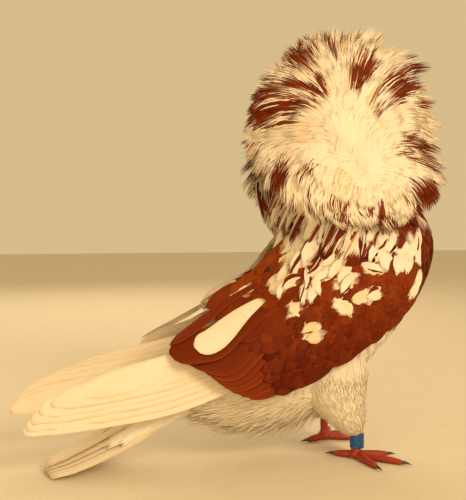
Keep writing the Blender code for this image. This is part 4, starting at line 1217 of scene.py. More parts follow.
def add_hood(label, side, density, width):
    """Long feathers over the dome, each a bundle of fine locks, and a lining inside it."""
    surface, inside = hood_at(side), flat_inside(side)
    notches = HOOD_NOTCHES + ((HOOD_TRAIL,) if side < 0 else ())
    shares = even(HOOD_STEPS)
    fan, profile = line_at(HOOD_FAN, shares), line_at(HOOD_PROFILE, shares)
    rng = np.random.default_rng(SEED + side * 3)
    for tier, row in enumerate(HOOD_TIERS):
        part, feathers, locks, root, tip, lift, curl, ragged, broad = row
        locks = int(locks * density)
        amount = feathers * locks
        # Feathers of one tier stand over the gaps between those of the next
        place = np.arange(feathers) + 0.5 * (tier % 2) + rng.uniform(-0.3, 0.3, feathers)
        owner, spread = locks_of(feathers, locks, 0.12, rng)
        turn = (place / feathers)[owner]
        angle = turn * math.tau
        below = np.maximum(-np.sin(angle), 0.0) ** 2
        # Each lock's reach, from root to tip, and the way it bends and droops
        end = tip * (1.0 + rng.uniform(-0.04, 0.03, feathers))[owner]
        end = end * (1.0 + HOOD_BELOW_STRETCH * below) * (1.0 - 0.05 * spread ** 2)
        for spot, half, share in notches:
            end = end * (1.0 - share * np.exp(-((np.degrees(angle) - spot) / half) ** 2))
        end = end * (1.0 + rng.uniform(-ragged, 0.3 * ragged, amount))
        start = root + rng.uniform(-0.06, 0.06, amount)
        reach = start[:, None] + (end - start)[:, None] * shares
        bend = rng.normal(0.0, HOOD_BEND[0], feathers)[owner] + rng.normal(0.0, HOOD_BEND[1], amount)
        droop = -np.cos(angle) * (0.5 + 0.5 * below) * HOOD_DROOP / math.tau
        turns = turn[:, None] + droop[:, None] * shares ** 2 + (
            spread[:, None] * fan * HOOD_SPREAD + bend[:, None] * shares ** 2
        ) / feathers
        # Its rise off the dome, with the tip flicked out
        loose = smooth(np.array(tip), 0.1, 0.9)
        rise = lift + loose * rng.uniform(-0.0003, 0.0003, feathers)[owner]
        rise = rise + loose * rng.normal(0, 0.0001, amount)
        arch = rise - 0.0002 * loose * spread ** 2
        flick = (curl * rng.uniform(0.2, 1.4, feathers))[owner] * rng.uniform(0.8, 1.1, amount)
        lifts = -HOOD_ROOT_DEPTH + (arch + HOOD_ROOT_DEPTH)[:, None] * smooth(shares, 0.0, 0.5)
        lifts = lifts + flick[:, None] * np.maximum((shares - 0.60) / 0.40, 0.0) ** 2
        turned = 1.0
        if part == "lining":
            lifts = -lining_depth(reach) - (lifts + LINING_GAP)
            turned = -1.0
        points, ups, _, _ = frame_at(surface, reach, turns, inside)
        stray = rng.normal(0.0, HOOD_STRAY, (amount, HOOD_STEPS, 3)) * shares[None, :, None]
        paths = points + ups * lifts[..., None] + np.cumsum(stray, axis=1)
        size = width * broad * rng.uniform(0.75, 1.25, amount)[:, None]
        widths = size * profile[None, :]
        heights = np.maximum(widths * (0.015 + 0.115 * smooth(reach, 0.2, 0.75)), THINNEST)
        root_angle = turns[:, 0] * math.tau
        spots = np.stack([
            0.5 + 0.46 * start * np.cos(root_angle), 0.5 + 0.46 * start * np.sin(root_angle),
        ], axis=-1)
        waver = varied(owner, (-0.55, 0.55), (-0.45, 0.45), rng)
        # The tone rises toward the rim: an ochre painted shade on white locks, a paler rust on red
        # ones
        tone = varied(owner, (0.10, 0.48), (-0.10, 0.10), rng) + 0.20 * loose
        # Some locks further out are painted ochre as shade
        ochre_shaded = rng.random(feathers)[owner] * 0.6 + rng.random(amount) * 0.4 > HOOD_SHADE_DRAW
        ochre = rng.uniform(0.78, 1.0, amount)
        tone = np.where(ochre_shaded & (end > HOOD_SHADE_FROM), ochre, tone)
        piece = coat(
            f"hood_{part}_{label}", paths, ups * turned, widths, heights, hood_red, spots,
            SEED + tier * 7 + side, tone, waver, shown=lock_points(paths),
        )
        if part == "rim":
            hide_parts("ruff_" + label)


def fans(paths, ups, widths, locks, rng):
    """Split feather paths into locks that part from the shaft and close again at the tip."""
    feathers, steps = paths.shape[:2]
    owner, spread = locks_of(feathers, locks, 0.08, rng)
    amount = len(owner)
    shares = even(steps)
    across = unit(np.cross(np.gradient(paths, axis=1), ups))
    reach = (1.0 - 0.16 * spread ** 2) * rng.uniform(0.92, 1.04, amount)
    place = np.clip(reach[:, None] * shares, 0.0, 1.0) * (steps - 1)
    low = np.minimum(place.astype(int), steps - 2)
    part = (place - low)[..., None]
    rows = owner[:, None]
    middle = paths[rows, low] * (1.0 - part) + paths[rows, low + 1] * part
    side = spread[:, None] * line_at(MANE_FAN, shares) * widths[owner][:, None] / 2
    sag = (0.0004 * spread ** 2)[:, None, None]
    split = middle + across[owner] * side[..., None] - ups[owner] * sag
    size = (widths / locks * 2.7)[owner] * rng.uniform(0.85, 1.15, amount)
    return split, ups[owner], size[:, None] * line_at(MANE_PROFILE, shares)[None, :], owner


def add_mane(label, side):
    """Long narrow feathers that hang from the hood over the back, red and white by turns."""
    rng = np.random.default_rng(SEED + 30 + side)
    hood, relief = hood_at(side), relief_at(side)
    shares = even(MANE_STEPS)
    place = (np.arange(MANE_COUNT) + rng.uniform(-0.4, 0.4, MANE_COUNT)) / MANE_COUNT
    angle = MANE_ANGLES[0] + (MANE_ANGLES[1] - MANE_ANGLES[0]) * place
    reach = rng.uniform(*MANE_REACHES, MANE_COUNT)
    root = hood(reach, angle / math.tau)
    ahead = unit(hood(reach + 0.1, angle / math.tau) - root)
    tip_x = MANE_TIPS[0][0] + (MANE_TIPS[1][0] - MANE_TIPS[0][0]) * place
    tip_z = MANE_TIPS[0][1] + (MANE_TIPS[1][1] - MANE_TIPS[0][1]) * place
    tip_x = tip_x + rng.uniform(-0.005, 0.005, MANE_COUNT)
    tip_z = tip_z + rng.uniform(-0.008, 0.008, MANE_COUNT)
    tip = relief(tip_x, tip_z)
    bend = (root + tip) / 2 + ahead * (np.linalg.norm(tip - root, axis=-1) * 0.10)[:, None]
    paths = bowed(root[:, None], bend[:, None], tip[:, None], shares[None, :, None])
    # It stays clear of wing and trunk all the way down
    under = relief(paths[..., 0], paths[..., 2])
    rise = 0.0006 + 0.0012 * np.sin(shares * math.pi) ** 0.6 + rng.uniform(0, 0.0010, (MANE_COUNT, 1))
    out = paths[..., 1] * side - MANE_DEPTH * (1.0 - shares)
    paths[..., 1] = side * np.maximum(out, under[..., 1] * side + rise)
    ups = np.broadcast_to(np.array((0.0, float(side), 0.0)), paths.shape)
    widths = rng.uniform(*MANE_WIDTHS, MANE_COUNT)
    split, ups, widths, owner = fans(paths, ups, widths, MANE_LOCKS, rng)
    waver = varied(owner, (-0.8, 0.8), (-0.3, 0.3), rng)
    tone = varied(owner, (0.05, 0.60), (-0.05, 0.20), rng)
    spots = np.stack([0.5 + 0.4 * np.cos(angle), 0.5 + 0.4 * np.sin(angle)], axis=-1)[owner]
    coat(
        "mane_" + label, split, ups, widths, np.maximum(widths * 0.10, THINNEST), mane_red, spots,
        SEED + 31 + side, np.clip(tone, 0.0, 1.0), waver,
    )


def add_fleck_feathers(label, side):
    """White feathers that make the flecks of wing and mantle, each lying away from the hood."""
    rng = np.random.default_rng(SEED + 34 + side)
    relief = relief_at(side)
    shares = even(FLECK_STEPS)
    paths, sizes, places = [], [], []
    for x, z, half_length, half_width, tilt in WHITE_FLECKS:
        if side > 0:
            x, z = x - LEFT_SHIFT[0], z - LEFT_SHIFT[1]
        way = np.array((math.cos(math.radians(tilt)), math.sin(math.radians(tilt))))
        if way @ (np.array(LOWER_WHORL) - (x, z)) > 0:
            way = -way
        abreast = 2 if half_width > FLECK_ABREAST else 1
        ahead = 2 if half_length > FLECK_SPLIT else 1
        for k, row in [(k, row) for k in range(ahead) for row in range(abreast)]:
            middle = np.array((x, z)) + way * half_length * (k - (ahead - 1) / 2) * 0.8
            middle = middle + square_to(way) * (row - (abreast - 1) / 2) * half_width
            middle = middle + way * half_length * rng.uniform(-0.22, 0.22)
            length = half_length * (1.5 if ahead == 2 else 2.1) * rng.uniform(0.85, 1.15)
            turn = rng.normal(0.0, 0.14)
            ahead_way = way * math.cos(turn) + square_to(way) * math.sin(turn)
            curve = rng.normal(0.0, 0.35) * length * (shares - 0.5) ** 2
            line = middle + ahead_way * ((shares - 0.5) * length)[:, None]
            line = line + square_to(ahead_way) * curve[:, None]
            point = relief(line[:, 0], line[:, 1])
            if np.abs(point[:, 1]).min() < FLECK_NEAREST:
                continue
            rise = FLECK_RISE * smooth(shares, -0.1, 0.5) - FLECK_ROOT_DEPTH * (1 - shares)
            point[:, 1] += side * rise
            paths.append(point)
            sizes.append(half_width * (1.25 if abreast == 2 else 1.8))
            places.append((0.5 + x * 3.0, 0.5 + (z - 0.11) * 5.0))
    paths = np.array(paths)
    ups = np.broadcast_to(np.array((0.0, float(side), 0.0)), paths.shape)
    split, ups, widths, owner = fans(paths, ups, np.array(sizes), FLECK_LOCKS, rng)
    tone = varied(owner, (0.0, 0.5), (-0.05, 0.15), rng)
    # Low on the wing the flecks turn tan, an ochre painted shade
    tone = tone + 0.50 * smooth(-paths[:, 0, 2], -0.128, -0.108)[owner]
    coat(
        "fleck_feathers_" + label, split, ups, widths, np.maximum(widths * 0.06, THINNEST),
        fleck_red, np.array(places)[owner], SEED + 35 + side, np.clip(tone, 0.0, 1.0),
    )


# Trunk, neck and down


def bundles(surface, inside, u, v, lengths, widths, locks, lift, sign, steps, rng):
    """Feathers made of locks that fan out from the shaft and close again at the tip."""
    feathers = len(u)
    owner, spread = locks_of(feathers, locks, 0.10, rng)
    amount = len(owner)
    shares = even(steps)
    fan = line_at(BODY_FAN, shares)
    _, _, speed_u, speed_v = frame_at(surface, u, v, inside)
    run = (lengths / np.maximum(speed_u, 1e-3))[owner]
    run = run * (1.0 - 0.16 * spread ** 2) * rng.uniform(0.92, 1.04, amount)
    half = (widths / 2 / np.maximum(speed_v, 1e-2))[owner]
    drift = (rng.normal(0.0, 0.10, feathers) * lengths / np.maximum(speed_v, 1e-2))[owner]
    us = u[owner][:, None] + sign * run[:, None] * shares
    vs = v[owner][:, None] + spread[:, None] * half[:, None] * fan + drift[:, None] * shares ** 2
    rise = (lift * rng.uniform(0.85, 1.15, feathers))[owner] - 0.0003 * spread ** 2
    lifts = -BODY_ROOT_DEPTH + (rise + BODY_ROOT_DEPTH)[:, None] * smooth(shares, 0.0, 0.8)
    points, ups, _, _ = frame_at(surface, us, vs, inside)
    waver = varied(owner, (-0.85, 0.85), (-0.15, 0.15), rng)
    tone = varied(owner, (0.0, 0.5), (0.0, 0.15), rng)
    return points + ups * lifts[..., None], ups, owner, us[:, 0], vs[:, 0], waver, tone


def under_wing(points):
    """Whether points of the trunk are well covered by a wing shield."""
    edge = curve_at(WING + INNER_FLIGHT[1:3], even(13))
    outline = np.concatenate([edge[:, [0, 2]], edge[::-1][:, [3, 5]]])
    outline = outline.mean(axis=0) + (outline - outline.mean(axis=0)) * 0.80
    x, z = points[..., 0], points[..., 2]
    covered = np.zeros(x.shape, bool)
    for (x0, z0), (x1, z1) in zip(outline, np.roll(outline, -1, axis=0)):
        crosses = (z0 > z) != (z1 > z)
        covered ^= crosses & (x < (x1 - x0) * (z - z0) / (z1 - z0 + 1e-12) + x0)
    return covered & (np.abs(points[..., 1]) > 0.020)


def add_body_feathers(density):
    """Feathers of trunk, cape and neck, each a bundle of locks that lies toward the tail."""
    profile = line_at(BODY_PROFILE, even(BODY_STEPS))
    rng = np.random.default_rng(SEED + 40)
    for tier, (part, count, locks, u_range, length, width) in enumerate(BODY_TIERS):
        start = SOWN_FROM["trunk"] * tier
        u, v = sown(trunk_at, trunk_inside, int(count * density * 1.3), u_range, start)
        point = trunk_at(u, v)
        shown = ~under_wing(point)
        u, v, point = u[shown], v[shown], point[shown]
        feathers = len(u)
        white = 1.0 - smooth(point[:, 2], 0.070, 0.095)
        lengths = length * (1.0 + 0.15 * white) * rng.uniform(0.88, 1.12, feathers)
        room = frame_at(trunk_at, u, v, trunk_inside)[2] * (u + 0.02)
        lengths = np.minimum(lengths, np.maximum(room, 0.006))
        sizes = width * rng.uniform(0.88, 1.12, feathers)
        lift = BODY_RISE * (1.4 + 0.8 * tier) * (1.0 - 0.5 * white)
        paths, ups, owner, root, turn, waver, tone = bundles(
            trunk_at, trunk_inside, u, v, lengths, sizes, locks, lift, -1.0, BODY_STEPS, rng,
        )
        size = (sizes / locks * 2.4)[owner] * rng.uniform(0.85, 1.15, len(owner))
        widths = size[:, None] * profile[None, :]
        heights = np.maximum(widths * 0.09, BODY_THINNEST)
        spots = np.stack([0.02 + 0.96 * np.clip(root, 0, 1), 0.02 + 0.96 * (turn % 1.0)], axis=-1)
        for label, chosen in (("right", paths[:, 0, 1] < 0), ("left", paths[:, 0, 1] >= 0)):
            coat(
                f"{part}_feathers_{label}", paths[chosen], ups[chosen], widths[chosen],
                heights[chosen], body_red, spots[chosen], SEED + 41 + tier, tone[chosen],
                waver[chosen], shown=lock_points(paths[chosen]),
            )


def add_down(count):
    """Soft loose tufts on the thighs and round the vent."""
    shares = even(DOWN_STEPS)
    rng = np.random.default_rng(SEED + 60)
    profile = line_at(DOWN_PROFILE, shares)

    def tufts(name, surface, inside, u, v, sign, hang, seed):
        """Tufts at (u, v) that lie along u and hang loose by up to hang."""
        amount = len(u)
        length = rng.uniform(*DOWN_LENGTHS, amount)
        lift = DOWN_RISE * rng.uniform(0.4, 1.0, amount)
        lifts = -DOWN_RISE + (lift[:, None] + DOWN_RISE) * shares[None, :]
        loose = hang * rng.random(amount) ** 1.5
        lifts = lifts + loose[:, None] * shares ** 1.5
        drift = rng.normal(0.0, 0.10, amount)
        paths, ups = grow(surface, inside, u, v, length, drift, lifts, sign, DOWN_STEPS)
        widths = rng.uniform(*DOWN_WIDTHS, (amount, 1)) * profile[None, :]
        heights = np.maximum(widths * 0.06, BODY_THINNEST)
        spots = np.stack([0.05 + 0.9 * np.clip(u, 0, 1), 0.02 + 0.96 * v], axis=-1)
        tone = rng.uniform(0.1, 0.6, amount)
        coat(name, paths, ups, widths, heights, no_red, spots, seed, tone)

    for label, side in SIDES:
        hub = HUBS[label]
        surface = thigh_at(side, hub)
        inside = spot_inside((hub[0] - 0.012, hub[1], 0.045))
        u, v = sown(surface, inside, int(count * 0.36), (0.0, 0.93), SOWN_FROM["thighs"])
        hang = THIGH_HANG * (0.4 + 0.6 * smooth(u, 0.50, 0.90))
        tufts("thigh_down_" + label, surface, inside, u, v, 1.0, hang, SEED + 61 + side)
    u, v = sown(trunk_at, trunk_inside, int(count * 1.1), (0.02, 0.50), SOWN_FROM["vent"])
    height = trunk_at(u, v)[:, 2]
    low = height < DOWN_TOP
    hang = VENT_HANG * smooth(-height[low], -0.060, -0.026)
    tufts("vent_down", trunk_at, trunk_inside, u[low], v[low], -1.0, hang, SEED + 63)


# Wings


def covert_tone(roots, rng):
    """Coverts are rusty near the back and deepen toward the wing's lower edge, a painted shade."""
    height = smooth(roots[:, 2], 0.060, 0.150)
    mottle = 0.14 * np.sin(roots[:, 0] * 330.0) * np.sin(roots[:, 2] * 280.0)
    return np.clip(0.18 + 0.52 * height + mottle + rng.uniform(-0.13, 0.13, len(roots)), 0.0, 1.0)


def add_wing_skin(label, side):
    """A closed shell under the coverts, with the markings of the wing."""
    places = even(WING_SKIN_RING)
    shell = bmesh.new()
    rows = []
    for share in even(WING_SKIN_RING):
        outer = wing_at(WING, side)(np.full(WING_SKIN_RING, share), places)
        inner = wing_at(WING, side, -0.9)(np.full(WING_SKIN_RING, share), places)
        middle = (outer + inner) / 2
        top = middle + (outer - middle) * WING_SKIN_SHARE
        under = middle + (inner - middle) * WING_SKIN_SHARE
        rows.append(np.concatenate([top, under[1:-1][::-1]]))
    bridge_rings(shell, rows)
    marked_core("wing_skin_" + label, shell, wing_red, ("wing_" + label,))


def add_coverts(label, side, count):
    """Coverts on the shield and over the flight feather roots, small in front, broad behind."""
    surface = wing_at(WING + INNER_FLIGHT[1:], side)
    inside = flat_inside(side)
    shares = even(COVERT_STEPS)
    rng = np.random.default_rng(SEED + 80 + side)
    u, v = sown(surface, inside, count, (0.0, COVERT_END), SOWN_FROM["coverts"])
    # The last rows end along a slanting line, further back near the upper edge
    size = 0.45 + 0.85 * smooth(u, 0.08, 0.60)
    kept = (u < COVERT_END - COVERT_SLANT * v) & (rng.random(len(u)) < (0.5 / size) ** 1.7)
    u, v, size = u[kept], v[kept] * 1.05 - 0.05, size[kept]
    amount = len(u)
    length = COVERT_LENGTH * size * rng.uniform(0.92, 1.08, amount)
    width = COVERT_WIDTH * size * rng.uniform(0.92, 1.08, amount)
    rise = COVERT_RISE * rng.uniform(0.9, 1.15, amount)
    lifts = -COVERT_RISE + 2 * rise[:, None] * smooth(shares, 0.0, 0.9)
    drift = rng.normal(0.06, 0.04, amount)
    paths, ups = grow(surface, inside, u, v, length, drift, lifts, 1.0, COVERT_STEPS)
    widths = width[:, None] * line_at(COVERT_PROFILE, shares)[None, :]
    heights = np.maximum(widths * 0.045, 0.00010)
    spots = np.stack([0.03 + 0.94 * u, 0.06 + 0.90 * v], axis=-1)
    piece = coat(
        "coverts_" + label, paths, ups, widths, heights, wing_red, spots, SEED + 81 + side,
        covert_tone(paths[:, 0], rng), sides=6, shown=lock_points(paths),
    )
    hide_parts("wing_" + label)


def plates(name, paths, acrosses, ups, widths, red, spots, node_name, seed, camber=0.06):
    """Broad flight feathers: thin cambered vanes with a raised shaft, one row for each."""
    tubes = len(paths)
    cross = np.linspace(-1.0, 1.0, VANE_POINTS)
    rise = (1.0 - cross ** 2) * camber
    shaft = np.exp(-(cross / SHAFT_HALF_WIDTH) ** 2)
    tops, unders = [], []
    for out, crown, ridge in zip(cross, rise, shaft):
        base = paths + acrosses * (widths * out / 2)[..., None] + ups * (widths * crown / 2)[..., None]
        thick = FLIGHT_THICKNESS * (0.35 + 0.65 * (1 - abs(out))) + SHAFT_HEIGHT * ridge
        tops.append(base + ups * thick / 2)
        unders.append(base - ups * thick / 2)
    rings = np.stack(tops + unders[::-1], axis=2)
    # What would go through the floor is raised onto it
    sunk = np.minimum(rings[..., 2].min(axis=2, keepdims=True) - FLOOR_GAP, 0.0)
    rings[..., 2] -= sunk
    outs = np.concatenate([cross, cross[::-1]])
    rng = np.random.default_rng(seed)
    red_share = red(paths, np.broadcast_to(rng.uniform(-1.0, 1.0, (tubes, 1)), paths.shape[:2]))
    # Vane edges are raised in tone: red vanes are worn pale there, and white ones get a faint ochre
    # painted shade
    tone = 0.30 + 0.22 * rng.random((tubes, 1, 1)) + VANE_EDGE_WEAR_AND_SHADE * outs ** 8
    shift = rng.random((tubes, 1, 1))
    mark, lie = feather_layers(paths, widths, outs, red_share, tone, VANE_TIP, shift)
    # Faces look out on both wings
    facing = np.cross(rings[:, 1, 1] - rings[:, 1, 0], rings[:, 2, 0] - rings[:, 1, 0])
    if np.sum(facing[0] * ups[0, 1]) < 0:
        rings, mark, lie = rings[:, :, ::-1], mark[:, :, ::-1], lie[:, :, ::-1]
    rims = (0, VANE_POINTS - 1, VANE_POINTS, 2 * VANE_POINTS - 1)
    piece = ring_mesh(name, rings, mark, lie, spots, flight_finish(), rims)
    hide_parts(node_name)
    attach(piece, BODY)


def spots_in_row(u, count):
    """Places on the unwrapped skin for a row of broad feathers."""
    return np.stack([np.full(count, u), np.linspace(0.1, 0.9, count)], axis=-1)


def flight_paths(sections, specs, side, insets, start, bulge_share, tilt, steps):
    """Paths of flight feathers that run over wing sections from root to tip."""
    surface = wing_at(sections, side, bulge_share)
    shares = even(steps)
    u = start + (specs[:, 2:3] - start) * shares
    bend = smooth(shares, 0.0, 1.0) * 0.4 + shares * 0.6
    v = specs[:, 0:1] + (specs[:, 1:2] - specs[:, 0:1]) * bend
    outward = np.array(WING_OUTWARD) * (1, -side, 1)
    paths = surface(u, v) - outward * insets[:, None, None]
    across = unit(surface(u, v - 0.06) - surface(u, v + 0.06)) - outward * math.tan(tilt)
    along = unit(np.gradient(paths, axis=1))
    across = unit(across - along * np.sum(across * along, axis=-1, keepdims=True))
    ups = unit(np.cross(across, along))
    ups = ups * np.sign(np.sum(ups * outward, axis=-1, keepdims=True))
    return paths, across, ups


def add_secondaries(label, side):
    """Secondaries and tertials, red with one white, or white inner ones on the left wing."""
    shares = even(VANE_STEPS)
    specs = np.array(INNER_VANES)
    insets = np.linspace(INNER_DEPTH * 0.62, INNER_DEPTH * 0.02, len(specs))
    paths, across, ups = flight_paths(
        INNER_FLIGHT, specs, side, insets, 0.0, 1.0, INNER_TILT, VANE_STEPS,
    )
    widths = specs[:, 3:4] * line_at(INNER_PROFILE, shares ** 1.6)[None, :]
    # The white one is a drop, drawn out in front and round behind
    drop = line_at(DROP_PROFILE, np.clip(shares / DROP_BROADEST, 0.0, 1.0))
    behind = (shares - DROP_BROADEST) / (1.0 - DROP_BROADEST)
    end = np.sqrt(np.clip(1.0 - behind ** 2, 0.02, 1.0))
    drop = drop * np.where(shares > DROP_BROADEST, end, 1.0)
    widths[WHITE_TERTIAL] = specs[WHITE_TERTIAL, 3] * drop
    paths[WHITE_TERTIAL:] += ups[WHITE_TERTIAL:] * (TERTIAL_RISE * smooth(shares, 0.0, 0.25))[:, None]
    if side > 0:
        # The white ones of the left wing lie along its tip
        paths[LEFT_WHITE_FROM:, :, 0] -= LEFT_REACH * shares ** 2
        paths[LEFT_WHITE_FROM:, :, 2] -= LEFT_DROP * shares ** 2

    def secondary_red(points, waver):
        """Red but for the white ones, which are red at the root."""
        red = np.ones(points.shape[:-1])
        if side < 0:
            red[WHITE_TERTIAL] = 1.0 - smooth(shares, 0.04, 0.12)
        else:
            red[LEFT_WHITE_FROM:] = 1.0 - smooth(shares, 0.22, 0.34)
        return red

    plates(
        "secondary_vanes_" + label, paths, across, ups, widths, secondary_red,
        spots_in_row(0.3, len(specs)), "secondaries_" + label, SEED + 100 + side,
    )


def add_primaries(label, side):
    """Long white primaries, each a little further out than the last."""
    shares = even(VANE_STEPS)
    specs = curve_at(OUTER_VANES, even(OUTER_VANE_COUNT))
    insets = ((OUTER_VANE_COUNT - 1) / 2 - np.arange(OUTER_VANE_COUNT)) * FLIGHT_LAYER
    paths, across, ups = flight_paths(
        OUTER_FLIGHT, specs, side, insets, 0.05, 0.0, OUTER_TILT, VANE_STEPS,
    )
    # Long vanes ripple a little across their length
    way = unit((paths[:, -1] - paths[:, 0]).mean(axis=0))
    ripple = np.sin(paths @ way * math.tau / RIPPLE_LENGTH) * RIPPLE * smooth(shares, 0.1, 0.4)
    paths = paths + ups * ripple[..., None]
    if side > 0:
        # The left wing tip lies a little further back
        paths[..., 0] -= LEFT_REACH * shares ** 2
    widths = OUTER_VANE_WIDTH * np.broadcast_to(line_at(OUTER_PROFILE, shares), paths.shape[:2])
    plates(
        "primary_vanes_" + label, paths, across, ups, widths, no_red,
        spots_in_row(0.7, len(specs)), "primaries_" + label, SEED + 110 + side, camber=0.004,
    )


# Tail


def add_tail_feathers():
    """Twelve white tail feathers in pairs, the middle pair on top."""
    shares = even(RECTRIX_STEPS)
    paths = []
    for pair in range(TAIL_PAIRS):
        spread = pair / (TAIL_PAIRS - 1)
        t = 0.10 + (0.90 - 0.02 * spread) * shares
        reach = TAIL_ROOT_SPREAD * (1 - t) + TAIL_END_SPREAD * t
        for side in (-1, 1):
            level = (TAIL_PAIRS - 0.5 - 2 * pair - (side < 0)) * TAIL_LAYER
            point = np.array(TAIL_ROOT) + TAIL_ALONG * (TAIL_LENGTH * t)[:, None] + TAIL_UP * level
            point[:, 1] += side * (RECTRIX_MIDDLE_OUT + (reach - RECTRIX_MIDDLE_OUT) * spread)
            paths.append(point)
    paths = np.array(paths)
    # The outer feathers lie over like a roof, less so toward the tip
    side = np.tile((-1.0, 1.0), TAIL_PAIRS)
    lean = 1.0 - np.linspace(1.0, 0.0, TAIL_PAIRS) ** 2.5
    roll = TAIL_ROOF * np.repeat(lean, 2)[:, None] * (1.0 - 0.75 * shares)
    cos, sin = np.cos(roll)[..., None], np.sin(roll)[..., None] * side[:, None, None]
    flat = np.array((0.0, 1.0, 0.0))
    acrosses = flat * cos - TAIL_UP * sin
    ups = TAIL_UP * cos + flat * sin
    widths = np.full((len(paths), 1), RECTRIX_WIDTH) * line_at(RECTRIX_PROFILE, shares)[None, :]
    # Each turns about its inner edge, which stays under the feather next to it
    paths = paths - TAIL_UP * (widths / 2 * np.sin(roll))[..., None]
    plates(
        "tail_vanes", paths, acrosses, ups, widths, no_red, spots_in_row(0.5, len(paths)),
        "tail", SEED + 120, camber=0.008,
    )


def tail_root_at(share, turn):
    """Root of the tail, an oval whose sides sag: share 0 in front and 1 behind."""
    angle = turn * math.tau
    half = 0.0155 + 0.0030 * share
    end_depth = np.where(np.sin(angle) > 0, 0.0014, 0.0052)
    depth = 0.0112 * (1 - share) + end_depth * share
    middle = np.array(TAIL_ROOT) + TAIL_ALONG * (TAIL_LENGTH * (share * 0.62))[..., None]
    out = half * np.cos(angle)
    rise = depth * np.sin(angle) - TAIL_COVERT_SAG * np.abs(out)
    return middle + np.stack([TAIL_UP[0] * rise, out, TAIL_UP[2] * rise], axis=-1)


def tail_inside(point):
    """For points of the tail's root, points on its middle line."""
    t = (point - np.array(TAIL_ROOT)) @ TAIL_ALONG
    return np.array(TAIL_ROOT) + TAIL_ALONG * t[..., None]


def add_tail_coverts():
    """Soft white feathers over and under the root of the tail."""
    rng = np.random.default_rng(SEED + 121)
    u, v = sown(
        tail_root_at, tail_inside, TAIL_COVERT_COUNT, TAIL_COVERT_SHARES, SOWN_FROM["tail"],
    )
    amount = len(u)
    shares = even(TAIL_COVERT_STEPS)
    length = 0.020 + 0.010 * rng.random(amount)
    lifts = 0.0004 * shares[None, :] + 0.0004 * rng.random((amount, 1))
    drift = rng.normal(0.0, 0.08, amount)
    paths, ups = grow(
        tail_root_at, tail_inside, u, v, length, drift, lifts, 1.0, TAIL_COVERT_STEPS,
    )
    paths[:, :, 2] = np.maximum(paths[:, :, 2], TAIL_COVERT_LOWEST)
    widths = (0.0035 + 0.002 * rng.random((amount, 1))) * line_at(SMALL_PROFILE, shares)[None, :]
    spots = np.stack([0.2 + 0.6 * np.clip(u, 0, 1), 0.02 + 0.96 * v], axis=-1)
    coat(
        "tail_coverts", paths, ups, widths, np.maximum(widths * 0.08, 0.00010), no_red, spots,
        SEED + 122, rng.uniform(0.1, 0.6, amount),
    )


# Throat and head


def add_throat_feathers():
    """Small feathers from under the bill down over the top of the neck."""
    rng = np.random.default_rng(SEED + 150)
    turn = 0.5 + rng.uniform(-THROAT_SPREAD, THROAT_SPREAD, THROAT_COUNT)
    first = head_at(rng.uniform(0.12, 0.60, THROAT_COUNT), turn)
    last = trunk_at(rng.uniform(0.86, 0.96, THROAT_COUNT), turn)
    out = unit((first + last) / 2 - np.array(THROAT_MIDDLE))[:, None]
    shares = even(THROAT_STEPS)
    t = shares[None, :, None]
    bend = (first + last)[:, None] / 2 + out * THROAT_BOW
    paths = bowed(first[:, None], bend, last[:, None], t) + out * (0.0012 * t - 0.0003)
    widths = rng.uniform(0.0014, 0.0022, (THROAT_COUNT, 1)) * line_at(SMALL_PROFILE, shares)[None, :]
    spots = np.stack([0.02 + 0.02 * rng.random(THROAT_COUNT), 0.02 + 0.96 * (turn % 1.0)], axis=-1)
    coat(
        "throat_feathers", paths, np.broadcast_to(out, paths.shape), widths,
        np.maximum(widths * 0.12, BODY_THINNEST), no_red, spots, SEED + 151,
        rng.uniform(0.0, 0.5, THROAT_COUNT),
    )


def sided(point, side):
    """A point of the right side, or its mirror image on the left."""
    return Vector((point[0], point[1] * -side, point[2]))


def add_head_feathers():
    """Very short smooth feathers over the head, lying back from the bill."""
    inside = spot_inside(HEAD_MIDDLE)
    u, v = sown(head_at, inside, HEAD_COUNT, HEAD_SHARES, SOWN_FROM["head"])
    rng = np.random.default_rng(SEED + 140)
    points = head_at(u, v)
    clear = np.ones(len(u), bool)
    for side in (-1, 1):
        middle = np.array(sided(EYE_MIDDLE, side))
        clear &= np.linalg.norm(points - middle, axis=-1) > EYE_RADIUS + EYE_CLEARANCE
    u, v = u[clear], v[clear]
    amount = len(u)
    shares = even(HEAD_STEPS)
    length = 0.0030 + 0.0022 * rng.random(amount)
    length = np.minimum(length, (1.0 - u) * 0.05 + 0.001)
    lifts = -0.0003 + 0.0008 * shares[None, :] * (0.6 + rng.random((amount, 1)))
    drift = rng.normal(0.0, 0.12, amount)
    paths, ups = grow(head_at, inside, u, v, length, drift, lifts, 1.0, HEAD_STEPS)
    profile = line_at(HEAD_PROFILE, shares)
    widths = (0.0009 + 0.0005 * rng.random((amount, 1))) * profile[None, :]
    spots = np.stack([0.02 + 0.96 * u, 0.02 + 0.96 * v], axis=-1)
    coat(
        "head_feathers", paths, ups, widths, np.maximum(widths * 0.22, BODY_THINNEST), no_red,
        spots, SEED + 141, rng.uniform(0.0, 0.5, amount),
    )


# Eyes, bill and feet


